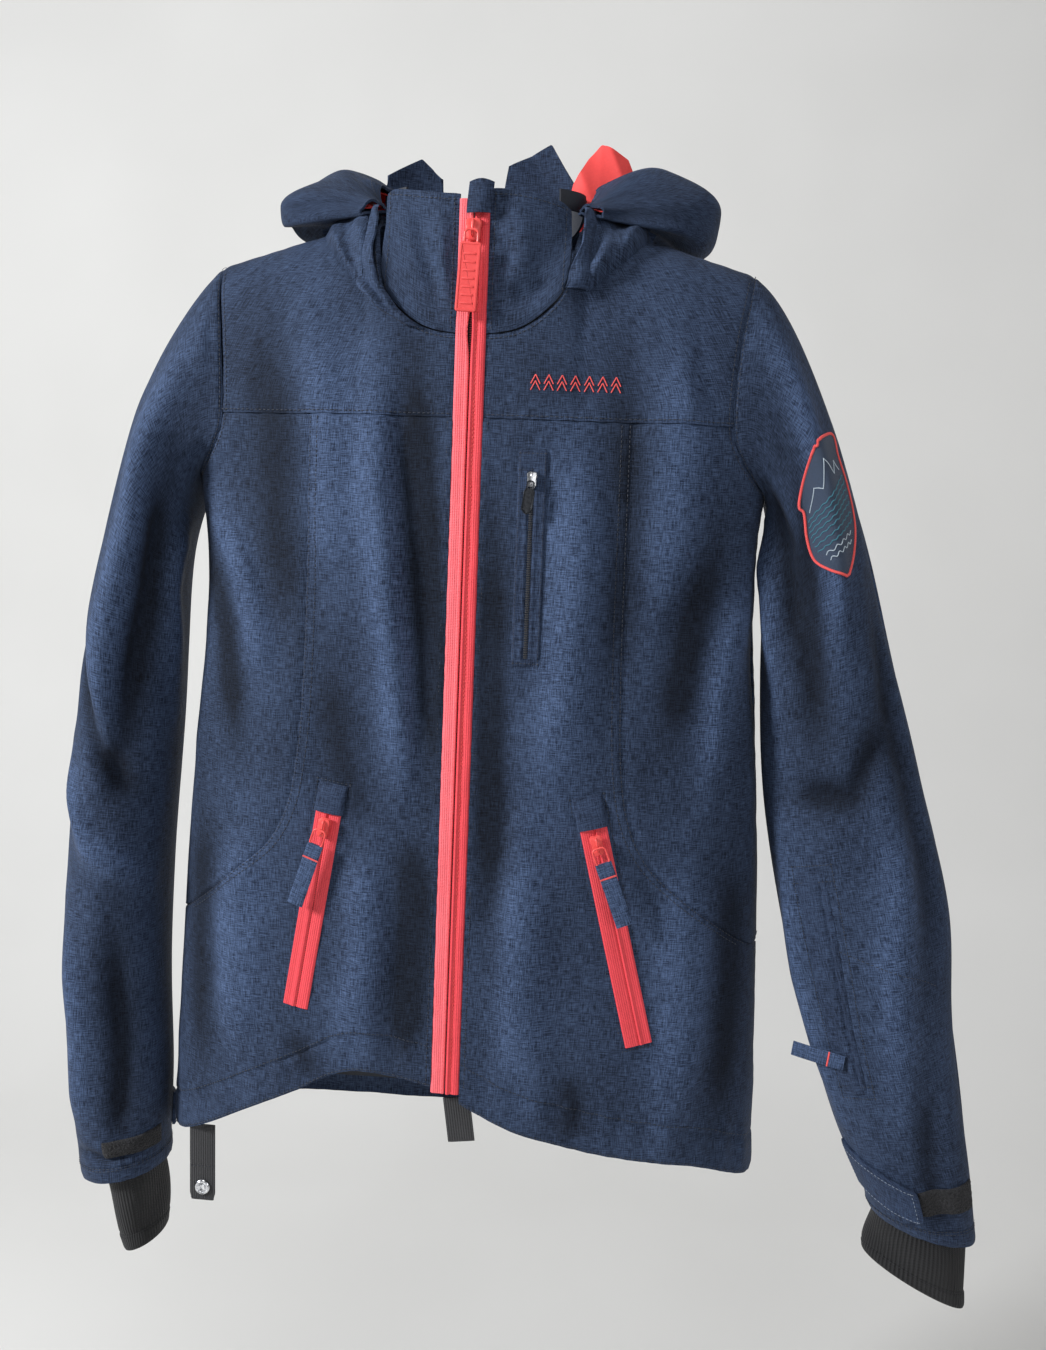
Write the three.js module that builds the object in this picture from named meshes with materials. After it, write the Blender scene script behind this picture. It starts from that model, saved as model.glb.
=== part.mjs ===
// Youth ski jacket, hanging: a shell of sewn panels with lining, hood, sleeves, zips and trims.
// Millimetres. X to the wearer's left, -Y to the front, +Z up. The origin is the middle of the
// neck opening, level with the high points of the shoulders.
import * as THREE from "three";
import { mergeVertices } from "three/addons/utils/BufferGeometryUtils.js";

// Sizes that drive everything else.
const BODY_WIDTH = 454; // across the hem, flat
const BODY_LENGTH = 700; // shoulder high point to the lowest hem
const BODY_DEPTH = 136; // front to back at the hem
const SLEEVE_DEPTH_RIGHT = 104; // the right sleeve hangs edge on
const SLEEVE_DEPTH_LEFT = 74; // the left sleeve hangs flat
const HOOD_RISE = 48; // how far the lobes stand above the shoulders
const HOOD_DROP = 165; // how far the pouch hangs down the back

// Cloth and trim.
const SHELL = 2.2; // outer cloth with its wadding
const LINING = 1.0;
const LINING_DEPTH = 5.6; // outer face of the lining below the shell's outer face
const BAG_DEPTH = 2.9;
const BAG = 0.9;
const SEAM = 0.35; // half the gap between neighbouring panels
const ARM_GAP = 2.3; // each side of the armhole seam
const ZIP_TAPE_WIDTH = 9.0;
const ZIP_GAP = 1.1; // half the gap between the two tapes
const ZIP_TAPE = 1.2;
const CHEST_ZIP_WIDTH = 19;
const POCKET_TAPE_WIDTH = 19;
const STRAP = 1.4;
const PULLER_WIDTH = 15;
const PULLER_LENGTH = 52;
const PULLER_THICK = 2.6;
const SNAP_STRAP_WIDTH = 20;
const SNAP_STRAP_LENGTH = 62;
const SNAP_DIAMETER = 12.5;

// The drawing below is laid out on a jacket of this size, and stretched to the sizes above.
const DRAWN_WIDTH = 454;
const DRAWN_LENGTH = 700;
const DRAWN_DEPTH = 136;
const KX = BODY_WIDTH / DRAWN_WIDTH;
const KZ = BODY_LENGTH / DRAWN_LENGTH;
const KY = BODY_DEPTH / DRAWN_DEPTH;
const ZIP_EDGE = (ZIP_GAP + ZIP_TAPE_WIDTH + SEAM) / KX; // the cloth ends beside the tape at any width
const LINING_FACE = LINING_DEPTH * Math.max(1, KX, KY); // flatter facets need more room on a bigger body

const YOKE_Z = -134;
const BACK_YOKE_Z = -112;
const ARMPIT_Z = -180;
const SHOULDER_X = 192;
const SHOULDER_Z = -27;
const NECK_X = 76;
const HEM_Z = -688;
const BACK_HEM_Z = -683;
const BLEND_TOP = -420; // the hem's own curve fades out above this height

const RIGHT = -1;
const LEFT = 1;

const lerp = (a, b, t) => a + (b - a) * t;
const clamp = (t) => Math.min(1, Math.max(0, t));
const smooth = (t) => clamp(t) ** 2 * (3 - 2 * clamp(t));
const crowd = (t) => Math.sin((t * Math.PI) / 2); // packs rows towards t = 1
const vec = (x, y, z) => new THREE.Vector3(x, y, z);

// A smooth function of one number through the given pairs, level beyond the ends.
function through(pairs) {
  const slope = pairs.map((p, i) => {
    const a = pairs[Math.max(0, i - 1)];
    const b = pairs[Math.min(pairs.length - 1, i + 1)];
    return (b[1] - a[1]) / (b[0] - a[0]);
  });
  return (x) => {
    const last = pairs.length - 1;
    const up = pairs[last][0] > pairs[0][0];
    const before = (p) => (up ? p[0] <= x : p[0] >= x);
    if (!before(pairs[0])) return pairs[0][1];
    if (before(pairs[last])) return pairs[last][1];
    let i = 0;
    while (before(pairs[i + 1])) i += 1;
    const width = pairs[i + 1][0] - pairs[i][0];
    const t = (x - pairs[i][0]) / width;
    const a = pairs[i][1] * (1 + 2 * t) * (1 - t) ** 2;
    const b = pairs[i + 1][1] * t * t * (3 - 2 * t);
    return a + b + width * (slope[i] * t * (1 - t) ** 2 - slope[i + 1] * t * t * (1 - t));
  };
}

// ---- The body's outline, in drawn millimetres -------------------------------------------------
const halfWidth = through([
  [40, 262], [-27, 250], [-80, 240], [-137, 226], [-160, 216], [-180, 208],
  [-284, 204], [-380, 212], [-478, 220], [-690, 228],
]);
const armhole = through([[20, 193], [-27, 192], [-80, 184], [-137, 182], [-160, 191], [-180, 208]]);
const princess = through([
  [-130, 113], [-330, 115], [-400, 121], [-440, 137], [-470, 165], [-505, 208],
]);
const backDepth = through([[30, 44], [-60, 56], [-150, 62], [-300, 58], [-450, 52], [-690, 50]]);
const hemRight = through([
  [0, -613], [30, -607], [72, -604], [111, -624], [152, -646], [207, -678], [230, HEM_Z],
]);
const hemLeft = through([[0, -615], [20, -626], [55, -641], [113, -654], [186, -667], [230, HEM_Z]]);
const neckline = through([[0, -79], [30, -75], [50, -63], [64, -45], [71, -16], [NECK_X, 8]]);
const backNeck = through([[0, -8], [40, -6], [64, 2], [NECK_X, 8]]);
const collarTopRight = through([[0, 14], [30, 16], [66, 21]]);
const collarTopLeft = through([[0, 18], [30, 18], [66, 11]]);

const shoulderZ = (x) => lerp(8, SHOULDER_Z, (Math.abs(x) - NECK_X) / (SHOULDER_X - NECK_X));
const rollTop = (x) => shoulderZ(x) + 165 * Math.max(0, 1 - (x / NECK_X) ** 2);
const frontDepth = (z) => 60 + (26 * (13 - z)) / 628;
const hem = (x) => (x < 0 ? hemRight(-x) : hemLeft(x));

function fullness(x, z) {
  const side = (1 - Math.min(1, Math.abs(x) / halfWidth(z)) ** 2.5) ** 0.4;
  const roll = Math.sqrt(1 - Math.exp(-Math.max(0, rollTop(x) - z) / 55));
  return side * roll;
}

const stretch = (x, y, z) => vec(x * KX, y * KY, z * KZ);
const frontAt = (x, z) => stretch(x, -0.5 - frontDepth(z) * fullness(x, z), z);
const backAt = (x, z) => stretch(x, 0.5 + backDepth(z) * fullness(x, z), z);

// Rows run level at the chest and follow the hem's own curve lower down.
function hang(x, z) {
  const share = smooth((BLEND_TOP - z) / (BLEND_TOP - HEM_Z));
  return z + (hem(x) - HEM_Z) * share;
}

// ---- Solids ----------------------------------------------------------------------------------
// Turns the faces outward if they face in.
function facingOut(geometry) {
  const p = geometry.attributes.position;
  const index = geometry.index.array;
  let volume = 0;
  const corner = (i) => vec(p.getX(i), p.getY(i), p.getZ(i));
  for (let i = 0; i < index.length; i += 3) {
    const [a, b, c] = [corner(index[i]), corner(index[i + 1]), corner(index[i + 2])];
    volume += a.dot(b.cross(c));
  }
  if (volume < 0) {
    for (let i = 0; i < index.length; i += 3) {
      [index[i], index[i + 1]] = [index[i + 1], index[i]];
    }
  }
  geometry.computeVertexNormals();
  return geometry;
}

function normalAt(face, u, v) {
  const step = 0.004;
  const u0 = Math.max(0, u - step);
  const u1 = Math.min(1, u + step);
  const v0 = Math.max(0, v - step);
  const v1 = Math.min(1, v + step);
  const along = face(u1, v).sub(face(u0, v));
  const down = face(u, v1).sub(face(u, v0));
  return along.cross(down).normalize();
}

// A sheet over face(u, v), from `low` to `high` along the face's normal.
function slab(face, across, down, low, high) {
  const box = new THREE.BoxGeometry(1, 1, 1, across, down, 1);
  box.deleteAttribute("normal");
  box.deleteAttribute("uv");
  const geometry = mergeVertices(box, 1e-4);
  const p = geometry.attributes.position;
  for (let i = 0; i < p.count; i += 1) {
    const u = p.getX(i) + 0.5;
    const v = p.getY(i) + 0.5;
    const off = p.getZ(i) > 0 ? high : low;
    const point = face(u, v).addScaledVector(normalAt(face, u, v), off);
    p.setXYZ(i, point.x, point.y, point.z);
  }
  return facingOut(geometry);
}

// A tube over face(u, v), closed in u.
function ring(face, around, along, low, high) {
  const sides = 2 * along + 2;
  const torus = new THREE.TorusGeometry(10, 1, sides, around);
  torus.deleteAttribute("normal");
  torus.deleteAttribute("uv");
  const geometry = torus;
  const p = geometry.attributes.position;
  const row = around + 1;
  for (let i = 0; i < p.count; i += 1) {
    const u = (i % row) / around;
    const j = Math.floor(i / row) % sides;
    const v = j <= along ? j / along : 1 - (j - along - 1) / along;
    const off = j <= along ? high : low;
    const closed = (a, b) => face(a - Math.floor(a), b);
    const e = 0.004;
    const step = closed(u + e, v).sub(closed(u + 1 - e, v));
    const down = face(u % 1, Math.min(1, v + e)).sub(face(u % 1, Math.max(0, v - e)));
    const point = closed(u, v).addScaledVector(step.cross(down).normalize(), off);
    p.setXYZ(i, point.x, point.y, point.z);
  }
  return facingOut(mergeVertices(geometry, 1e-3));
}

function mesh(name, geometry, color, roughness = 0.85, metalness = 0) {
  const material = new THREE.MeshStandardMaterial({ color, roughness, metalness });
  material.name = name;
  const node = new THREE.Mesh(geometry, material);
  node.name = name;
  return node;
}

const NAVY = 0x1f3350;
const NAVY_DARK = 0x1a2a44;
const CORAL = 0xf2584c;
const LINING_TONE = 0x232a38;
const BLACK = 0x15161a;

// Names end in the wearer's side.
const sideName = (side) => (side < 0 ? "right" : "left");
// The front's normal must point to -Y on both sides.
const outward = (side, offset) => -side * offset;

// ---- Body panels -----------------------------------------------------------------------------
const sideEdge = (z) => (z > ARMPIT_Z ? armhole(z) - ARM_GAP : halfWidth(z) * 0.9996);

function frontFace(side, inner, outer, top, bottom, rows = (v) => v) {
  return (u, v) => {
    const z = lerp(top, bottom, rows(v));
    const x = lerp(inner(z), outer(z), crowd(u));
    return frontAt(side * x, hang(side * x, z));
  };
}

function frontPanel(side) {
  const outer = (z) => lerp(princess(z) - SEAM, halfWidth(z) * 0.9996, smooth((-501 - z) / 16));
  const inner = () => ZIP_EDGE;
  // rows close up where the princess seam swings out to the side
  const rows = through([[0, 0], [0.5, 0.5], [0.82, 0.7], [1, 1]]);
  const face = frontFace(side, inner, outer, YOKE_Z - SEAM, HEM_Z, rows);
  const geometry = slab(face, 8, 16, outward(side, -SHELL), 0);
  return mesh(`front_panel_${sideName(side)}`, geometry, NAVY);
}

function sidePanel(side) {
  const inner = (z) => princess(z) + SEAM + 1.8 * smooth((-390 - z) / 40);
  const face = frontFace(side, inner, sideEdge, YOKE_Z - SEAM, -496);
  const geometry = slab(face, 5, 10, outward(side, -SHELL), 0);
  return mesh(`side_panel_${sideName(side)}`, geometry, NAVY);
}

function frontYoke(side) {
  const edge = (x) => (x < NECK_X ? neckline(x) : shoulderZ(x));
  const inner = ZIP_EDGE;
  const face = (u, v) => {
    const reach = lerp(inner, SHOULDER_X, u);
    const top = edge(reach);
    const z = lerp(top, YOKE_Z + SEAM, 1 - crowd(1 - v));
    const x = lerp(inner, lerp(SHOULDER_X, armhole(z), smooth(v * 3)) - ARM_GAP, u);
    return frontAt(side * x, z);
  };
  const geometry = slab(face, 13, 5, outward(side, -SHELL), 0);
  return mesh(`front_yoke_${sideName(side)}`, geometry, NAVY);
}

function backPanel() {
  const face = (u, v) => {
    const z = lerp(BACK_YOKE_Z - SEAM, BACK_HEM_Z, v);
    return backAt(sideEdge(z) * Math.sin((u - 0.5) * Math.PI), z);
  };
  return mesh("back_panel", slab(face, 14, 12, -SHELL, 0), NAVY);
}

function backYoke() {
  const edge = (x) => (Math.abs(x) < NECK_X ? backNeck(Math.abs(x)) : shoulderZ(x));
  const face = (u, v) => {
    const reach = lerp(-SHOULDER_X, SHOULDER_X, u);
    const top = edge(reach);
    const z = lerp(top, BACK_YOKE_Z + SEAM, 1 - crowd(1 - v));
    const x = reach * (lerp(1, armhole(z) / SHOULDER_X, smooth(v * 3)) - ARM_GAP / SHOULDER_X);
    return backAt(x, z);
  };
  return mesh("back_yoke", slab(face, 20, 4, -SHELL, 0), NAVY);
}

function bodyLining(side) {
  const face = frontFace(side, () => 16, (z) => sideEdge(z) - 24, -150, HEM_Z + 22);
  const geometry = slab(face, 6, 8, outward(side, -LINING_FACE - LINING), outward(side, -LINING_FACE));
  return mesh(`front_lining_${sideName(side)}`, geometry, LINING_TONE, 0.6);
}

function backLining() {
  const face = (u, v) => {
    const z = lerp(BACK_YOKE_Z - 4, BACK_HEM_Z + 18, v);
    return backAt((sideEdge(z) - 14) * Math.sin((u - 0.5) * Math.PI), z);
  };
  return mesh("back_lining", slab(face, 10, 10, -LINING_FACE - LINING, -LINING_FACE), LINING_TONE, 0.6);
}

// ---- Collar ----------------------------------------------------------------------------------
const COLLAR_END = 65;
const zipY = (z) => -frontDepth(z);

function collarSpot(x, z, inset) {
  const share = (1 - Math.min(1, Math.abs(x) / (82 - inset)) ** 2.5) ** 0.4;
  const low = neckline(Math.abs(x));
  const body = -0.5 - frontDepth(low) * fullness(x, low);
  const stand = zipY(z) * share;
  return lerp(body, stand, smooth((z - low) / 45)) + inset;
}

function frontCollar(side) {
  const top = side < 0 ? collarTopRight : collarTopLeft;
  const inner = ZIP_EDGE;
  const face = (u, v) => {
    const x = lerp(inner, COLLAR_END, u);
    const z = lerp(top(x), neckline(x) + 6 * SEAM + 2 * (x / COLLAR_END) ** 2, v);
    return stretch(side * x, collarSpot(x, z, 0), z);
  };
  const geometry = slab(face, 6, 6, outward(side, -SHELL), 0);
  return mesh(`collar_${sideName(side)}`, geometry, NAVY_DARK);
}

function backCollar() {
  const face = (u, v) => {
    const turn = lerp(-0.22, 1.22, u) * Math.PI;
    const x = 71 * Math.cos(turn);
    const y = Math.sin(turn) * (turn > 0 && turn < Math.PI ? 47 : 40);
    const low = lerp(13, 0, smooth(Math.sin(turn) * 1.5));
    return stretch(x, y, lerp(26, low, v));
  };
  return mesh("collar_back", slab(face, 18, 2, 0, SHELL), NAVY_DARK);
}

function chinGuard() {
  const face = (u, v) => {
    const bow = Math.sin(Math.PI * u);
    return vec(lerp(-4, 13, u) * KX, -62 * KY - 2.4 - 2.2 * bow, lerp(21, 1, v) * KZ);
  };
  return mesh("chin_guard", slab(face, 6, 3, 0, 1.6), NAVY_DARK);
}

// ---- Main zip --------------------------------------------------------------------------------
const ZIP_TOP = 11;
const ZIP_BOTTOM = -612;
const zipAt = (x, z, out) => vec(x, zipY(z) * KY - out, z * KZ);

function zipTape(side) {
  const outer = ZIP_GAP + ZIP_TAPE_WIDTH - SEAM;
  const face = (u, v) => zipAt(side * lerp(ZIP_GAP, outer, u), lerp(ZIP_TOP, ZIP_BOTTOM, v), 0);
  const high = side > 0 ? 0.9 : 0.2;
  const geometry = slab(face, 1, 6, outward(side, -ZIP_TAPE), outward(side, high));
  return mesh(`zip_tape_${sideName(side)}`, geometry, CORAL, 0.7);
}

function zipChain() {
  const face = (u, v) => zipAt(lerp(-2.6, 2.6, u), lerp(ZIP_TOP - 4, ZIP_BOTTOM + 4, v), -1.6);
  return mesh("zip_chain", slab(face, 1, 6, 0, 2.0), 0x5c2224, 0.5);
}

// ---- Hardware that stands on a surface -------------------------------------------------------
// A place on a surface: X across, Y up, Z out of the cloth, turned by `lean` about Z.
function seat(at, x, z, out, lean = 0) {
  const across = at(x + 2, z).sub(at(x - 2, z)).normalize();
  const up = at(x, z + 2).sub(at(x, z - 2)).normalize();
  const normal = across.clone().cross(up).normalize();
  const top = up.applyAxisAngle(normal, lean);
  const basis = new THREE.Matrix4().makeBasis(top.clone().cross(normal), top, normal);
  return basis.setPosition(at(x, z).addScaledVector(normal, out));
}

function placed(geometry, matrix) {
  geometry.applyMatrix4(matrix);
  return facingOut(geometry);
}

// A slider seen from the side, drawn through its whole width.
function sliderGeometry(width, height, thick) {
  const shape = new THREE.Shape();
  shape.moveTo(0, -height * 0.5);
  shape.lineTo(thick * 0.65, -height * 0.5);
  shape.lineTo(thick * 0.65, -height * 0.2);
  shape.lineTo(thick, -height * 0.06);
  shape.lineTo(thick, height * 0.28);
  shape.lineTo(thick * 0.65, height * 0.4);
  shape.lineTo(thick * 0.65, height * 0.5);
  shape.lineTo(0, height * 0.5);
  const body = new THREE.ExtrudeGeometry(shape, { depth: width, bevelEnabled: false });
  body.translate(0, 0, -width / 2);
  body.rotateY(-Math.PI / 2);
  return welded(body);
}

function welded(geometry) {
  geometry.deleteAttribute("uv");
  geometry.deleteAttribute("normal");
  return mergeVertices(geometry, 1e-3);
}

// A flat puller hanging from its own top edge, rounded at the foot.
function pullerGeometry(width, length, thick) {
  const shape = new THREE.Shape();
  const r = width * 0.32;
  const half = width / 2;
  shape.moveTo(-half * 0.7, 0);
  shape.lineTo(-half, -width * 0.4);
  shape.lineTo(-half, -length + r);
  shape.absarc(-half + r, -length + r, r, Math.PI, 1.5 * Math.PI, false);
  shape.absarc(half - r, -length + r, r, 1.5 * Math.PI, 2 * Math.PI, false);
  shape.lineTo(half, -width * 0.4);
  shape.lineTo(half * 0.7, 0);
  const body = new THREE.ExtrudeGeometry(shape, { depth: thick, bevelEnabled: false, curveSegments: 5 });
  body.translate(0, 0, -thick / 2);
  return welded(body);
}

const zipSeat = (x, z) => zipAt(x, z, 0);
const SLIDER_Z = -10;
const PULL_DROP = 3.4; // from a slider's middle down to its puller's pivot

function zipSlider() {
  return mesh("zip_slider", placed(sliderGeometry(11, 15, 5.6), seat(zipSeat, 0, SLIDER_Z, 1.4)), CORAL, 0.5);
}

function zipPuller() {
  const geometry = pullerGeometry(PULLER_WIDTH, PULLER_LENGTH, PULLER_THICK);
  geometry.translate(0, -PULL_DROP, 0);
  return mesh("zip_puller", placed(geometry, seat(zipSeat, 0, SLIDER_Z, 9.4, -0.05)), CORAL, 0.6);
}

// ---- Chest pocket ----------------------------------------------------------------------------
const CHEST_X = 46;
const CHEST_TOP = -156;
const CHEST_BOTTOM = -302;

function strip(at, from, to, width, low, high, rows = 6, across = 1) {
  const along = vec(to[0] - from[0], 0, to[1] - from[1]).normalize();
  const face = (u, v) => {
    const x = lerp(from[0], to[0], v) - along.z * width * (u - 0.5);
    const z = lerp(from[1], to[1], v) + along.x * width * (u - 0.5);
    return at(x, z);
  };
  // u runs to +X, v runs down, so the normal points into the cloth
  return slab(face, across, rows, -low, -high);
}

function chestPocket() {
  const top = [CHEST_X, CHEST_TOP];
  const foot = [CHEST_X, CHEST_BOTTOM];
  const w = CHEST_ZIP_WIDTH;
  const welt = strip(frontAt, top, foot, w, 0.6, 1.4);
  const chain = strip(frontAt, [CHEST_X, CHEST_TOP - 8], [CHEST_X, CHEST_BOTTOM + 5], 4, 1.7, 2.4);
  const bag = strip(frontAt, [52, CHEST_TOP - 4], [52, CHEST_BOTTOM + 8], 74, -BAG_DEPTH - BAG, -BAG_DEPTH, 4, 3);
  const slider = placed(sliderGeometry(7, 11, 4.4), seat(frontAt, CHEST_X, CHEST_SLIDER_Z, 3.0));
  const puller = pullerGeometry(8, 21, 1.8);
  puller.translate(0, -PULL_DROP, 0);
  return [
    mesh("chest_pocket_welt", welt, NAVY_DARK),
    mesh("chest_zip_chain", chain, BLACK, 0.5),
    mesh("chest_pocket_bag", bag, LINING_TONE),
    mesh("chest_slider", slider, 0xb9bcc2, 0.25, 1),
    mesh("chest_puller", placed(puller, seat(frontAt, CHEST_X, CHEST_SLIDER_Z, 9.3, -0.12)), 0x2b2d31, 0.35, 0.8),
  ];
}

const CHEST_SLIDER_Z = -175;

// ---- Hand pockets ----------------------------------------------------------------------------
const POCKETS = {
  right: { top: [-91, -414], foot: [-113, -560], slider: 0.075, lean: -0.32 },
  left: { top: [98, -414], foot: [137, -571], slider: 0.075, lean: 0.37 },
};

function along(pocket, t) {
  return [lerp(pocket.top[0], pocket.foot[0], t), lerp(pocket.top[1], pocket.foot[1], t)];
}

function handPocket(side) {
  const name = sideName(side);
  const pocket = POCKETS[name];
  const tilt = Math.atan2(pocket.foot[0] - pocket.top[0], pocket.top[1] - pocket.foot[1]);
  const tape = strip(frontAt, along(pocket, 0), along(pocket, 1), POCKET_TAPE_WIDTH, 0.6, 1.5);
  const chain = strip(frontAt, along(pocket, 0.06), along(pocket, 0.97), 4, 1.8, 2.4);
  const garage = strip(frontAt, along(pocket, -0.14), along(pocket, 0.0), 21, 3.0, 4.2, 2);
  const deep = -BAG_DEPTH;
  const shift = ([a, b]) => [a - side * 16, b];
  const ends = [shift(along(pocket, 0.02)), shift(along(pocket, 0.92))];
  const bag = strip(frontAt, ends[0], ends[1], 88, deep - BAG, deep, 5, 5);
  const [x, z] = along(pocket, pocket.slider);
  const slider = placed(sliderGeometry(9, 14, 5), seat(frontAt, x, z, 3.6, tilt));
  const puller = pullerGeometry(12, 56, STRAP);
  puller.translate(0, -PULL_DROP, 0);
  return [
    mesh(`pocket_tape_${name}`, tape, CORAL, 0.7),
    mesh(`pocket_chain_${name}`, chain, 0x7a2620, 0.5),
    mesh(`pocket_garage_${name}`, garage, NAVY_DARK),
    mesh(`pocket_bag_${name}`, bag, LINING_TONE),
    mesh(`pocket_slider_${name}`, slider, CORAL, 0.5),
    mesh(`pocket_puller_${name}`, placed(puller, seat(frontAt, x, z, 10.6, pocket.lean)), NAVY),
  ];
}

function chestMotif() {
  const stand = 0.9 + 4 * Math.max(0, KY - 1);
  const geometry = strip(frontAt, [42, -108], [104, -108], 13, stand, stand + 0.6, 1, 6);
  return mesh("chest_motif", facingOut(geometry), CORAL, 0.6);
}

// ---- Sleeves ---------------------------------------------------------------------------------
// Each ring: outer edge x and z, inner edge x and z, half depth, middle y.
const RINGS = {
  right: [
    [192, -27, 208, -180, 50, 0], [220, -54, 211.5, -196, 50, 0], [249, -112, 217, -216, 50, -1],
    [275, -188, 222, -245, 51, -2], [295, -275, 226, -305, 52, -4], [304, -382, 229, -392, 52, -7],
    [311, -484, 233, -486, 50, -11], [312, -570, 235, -570, 48, -15], [309, -650, 232.5, -642, 45, -19],
    [303, -700, 231, -690, 42, -22], [298, -727, 230, -716, 40, -24],
  ],
  left: [
    [192, -27, 208, -180, 37, 0], [222, -58, 211.5, -196, 37, 0], [252, -130, 211.5, -228, 37, -2],
    [280, -206, 210.5, -262, 37, -4], [303, -284, 212, -318, 37, -7], [330, -374, 219, -403, 37, -10],
    [356, -468, 240, -498, 37, -14], [364, -547, 262, -573, 36, -18], [377, -625, 288, -645, 34, -22],
    [389, -690, 309, -690, 32, -24], [394, -722, 314, -703, 30, -25],
  ],
};
const SLEEVE_BLEND = 0.22;

function sleeveCurve(side, read) {
  const rings = RINGS[sideName(side)];
  return new THREE.CatmullRomCurve3(rings.map((r) => read(r)), false, "centripetal");
}

function armholeAt(side, turn) {
  const t = turn <= Math.PI ? turn : 2 * Math.PI - turn;
  const z = lerp(SHOULDER_Z, ARMPIT_Z, (1 - Math.cos(t)) / 2);
  const x = side * armhole(z);
  const spot = turn <= Math.PI ? frontAt(x, z) : backAt(x, z);
  return spot.add(vec(side * ARM_GAP, 0, 0));
}

// The sleeve's outer face: turn 0 along the outside, a half turn along the underarm,
// the front of the sleeve in the first half.
function sleeveSurface(side) {
  const depth = side < 0 ? SLEEVE_DEPTH_RIGHT / 104 : SLEEVE_DEPTH_LEFT / 74;
  const outer = sleeveCurve(side, (r) => stretch(side * r[0], 0, r[1]));
  const inner = sleeveCurve(side, (r) => stretch(side * r[2], 0, r[3]));
  const sizes = sleeveCurve(side, (r) => vec(r[4] * depth, r[5] * KY, 0));
  return (turn, t) => {
    const o = outer.getPoint(t);
    const i = inner.getPoint(t);
    const size = sizes.getPoint(t);
    const middle = o.clone().add(i).multiplyScalar(0.5);
    const spoke = o.sub(i).multiplyScalar(0.5);
    const point = middle.addScaledVector(spoke, Math.cos(turn));
    point.y = size.y - size.x * Math.sin(turn);
    const share = smooth(t / SLEEVE_BLEND);
    return armholeAt(side, turn).lerp(point, share);
  };
}

function sleeveHalf(side, back) {
  const at = sleeveSurface(side);
  const edge = 0.012;
  const from = back ? Math.PI + edge : edge;
  const to = back ? 2 * Math.PI - edge : Math.PI - edge;
  const face = (u, v) => at(lerp(from, to, u), v);
  const geometry = slab(face, 8, 14, side * -SHELL, 0);
  return mesh(`sleeve_${back ? "back" : "front"}_${sideName(side)}`, geometry, NAVY);
}

function sleeveLining(side) {
  const at = sleeveSurface(side);
  const face = (u, v) => at(2 * Math.PI * u, lerp(0.2, 0.87, v));
  const geometry = ring(face, 14, 7, side * (-LINING_FACE - LINING), side * -LINING_FACE);
  return mesh(`sleeve_lining_${sideName(side)}`, geometry, LINING_TONE, 0.6);
}

// A patch on a sleeve between two turns and two stations, `low` to `high` above the cloth.
function sleevePatch(side, turns, stations, low, high, across = 4, rows = 2, narrow = () => 1) {
  const at = sleeveSurface(side);
  const middle = (turns[0] + turns[1]) / 2;
  const face = (u, v) => {
    const turn = middle + (lerp(turns[0], turns[1], u) - middle) * narrow(v);
    return at(turn, lerp(stations[0], stations[1], v));
  };
  return slab(face, across, rows, side * low, side * high);
}

const GAITERS = {
  right: [[288, -694, 241, -694, 30], [277, -738, 233.5, -733, 29], [264, -789, 233, -776, 26]],
  left: [[381, -688, 322, -688, 22], [387, -728, 314, -714, 21], [389, -777, 312, -737, 19]],
};

function gaiter(side) {
  const rings = GAITERS[sideName(side)];
  const pick = (read) => new THREE.CatmullRomCurve3(rings.map(read));
  const outer = pick((r) => stretch(side * r[0], 0, r[1]));
  const inner = pick((r) => stretch(side * r[2], 0, r[3]));
  const depth = pick((r) => vec(r[4] * (side < 0 ? SLEEVE_DEPTH_RIGHT / 104 : SLEEVE_DEPTH_LEFT / 74), 0, 0));
  const y = (RINGS[sideName(side)][10][5] - 1) * KY;
  const face = (u, v) => {
    const o = outer.getPoint(v);
    const i = inner.getPoint(v);
    const turn = 2 * Math.PI * u;
    const point = o.clone().add(i).multiplyScalar(0.5).addScaledVector(o.sub(i), Math.cos(turn) / 2);
    point.y = y - depth.getPoint(v).x * Math.sin(turn);
    return point;
  };
  return mesh(`gaiter_${sideName(side)}`, ring(face, 16, 3, side * -1.4, 0), BLACK, 0.9);
}

function loopPatch(side) {
  const turns = side < 0 ? [1.75, 2.75] : [0.45, 1.45];
  const stations = side < 0 ? [0.885, 0.925] : [0.872, 0.908];
  return mesh(`loop_patch_${sideName(side)}`, sleevePatch(side, turns, stations, 0.5, 2.0), BLACK, 1);
}

function cuffTab(side) {
  const turns = side < 0 ? [3.5, 4.4] : [1.75, 2.75];
  const stations = side < 0 ? [0.86, 0.93] : [0.83, 0.895];
  return mesh(`cuff_tab_${sideName(side)}`, sleevePatch(side, turns, stations, 1.0, 2.6, 6, 3), NAVY);
}

function sleeveBadge() {
  const narrow = (v) => (v < 0.5 ? 1 : 1 - 0.75 * (2 * v - 1) ** 2);
  const geometry = sleevePatch(LEFT, [0.75, 1.6], [0.19, 0.315], 0.6, 1.4, 5, 6, narrow);
  return mesh("sleeve_badge", geometry, 0x24405c, 0.8);
}

const SLEEVE_POCKET = { turn: 2.2, from: 0.55, to: 0.752, half: 0.2 };

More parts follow.
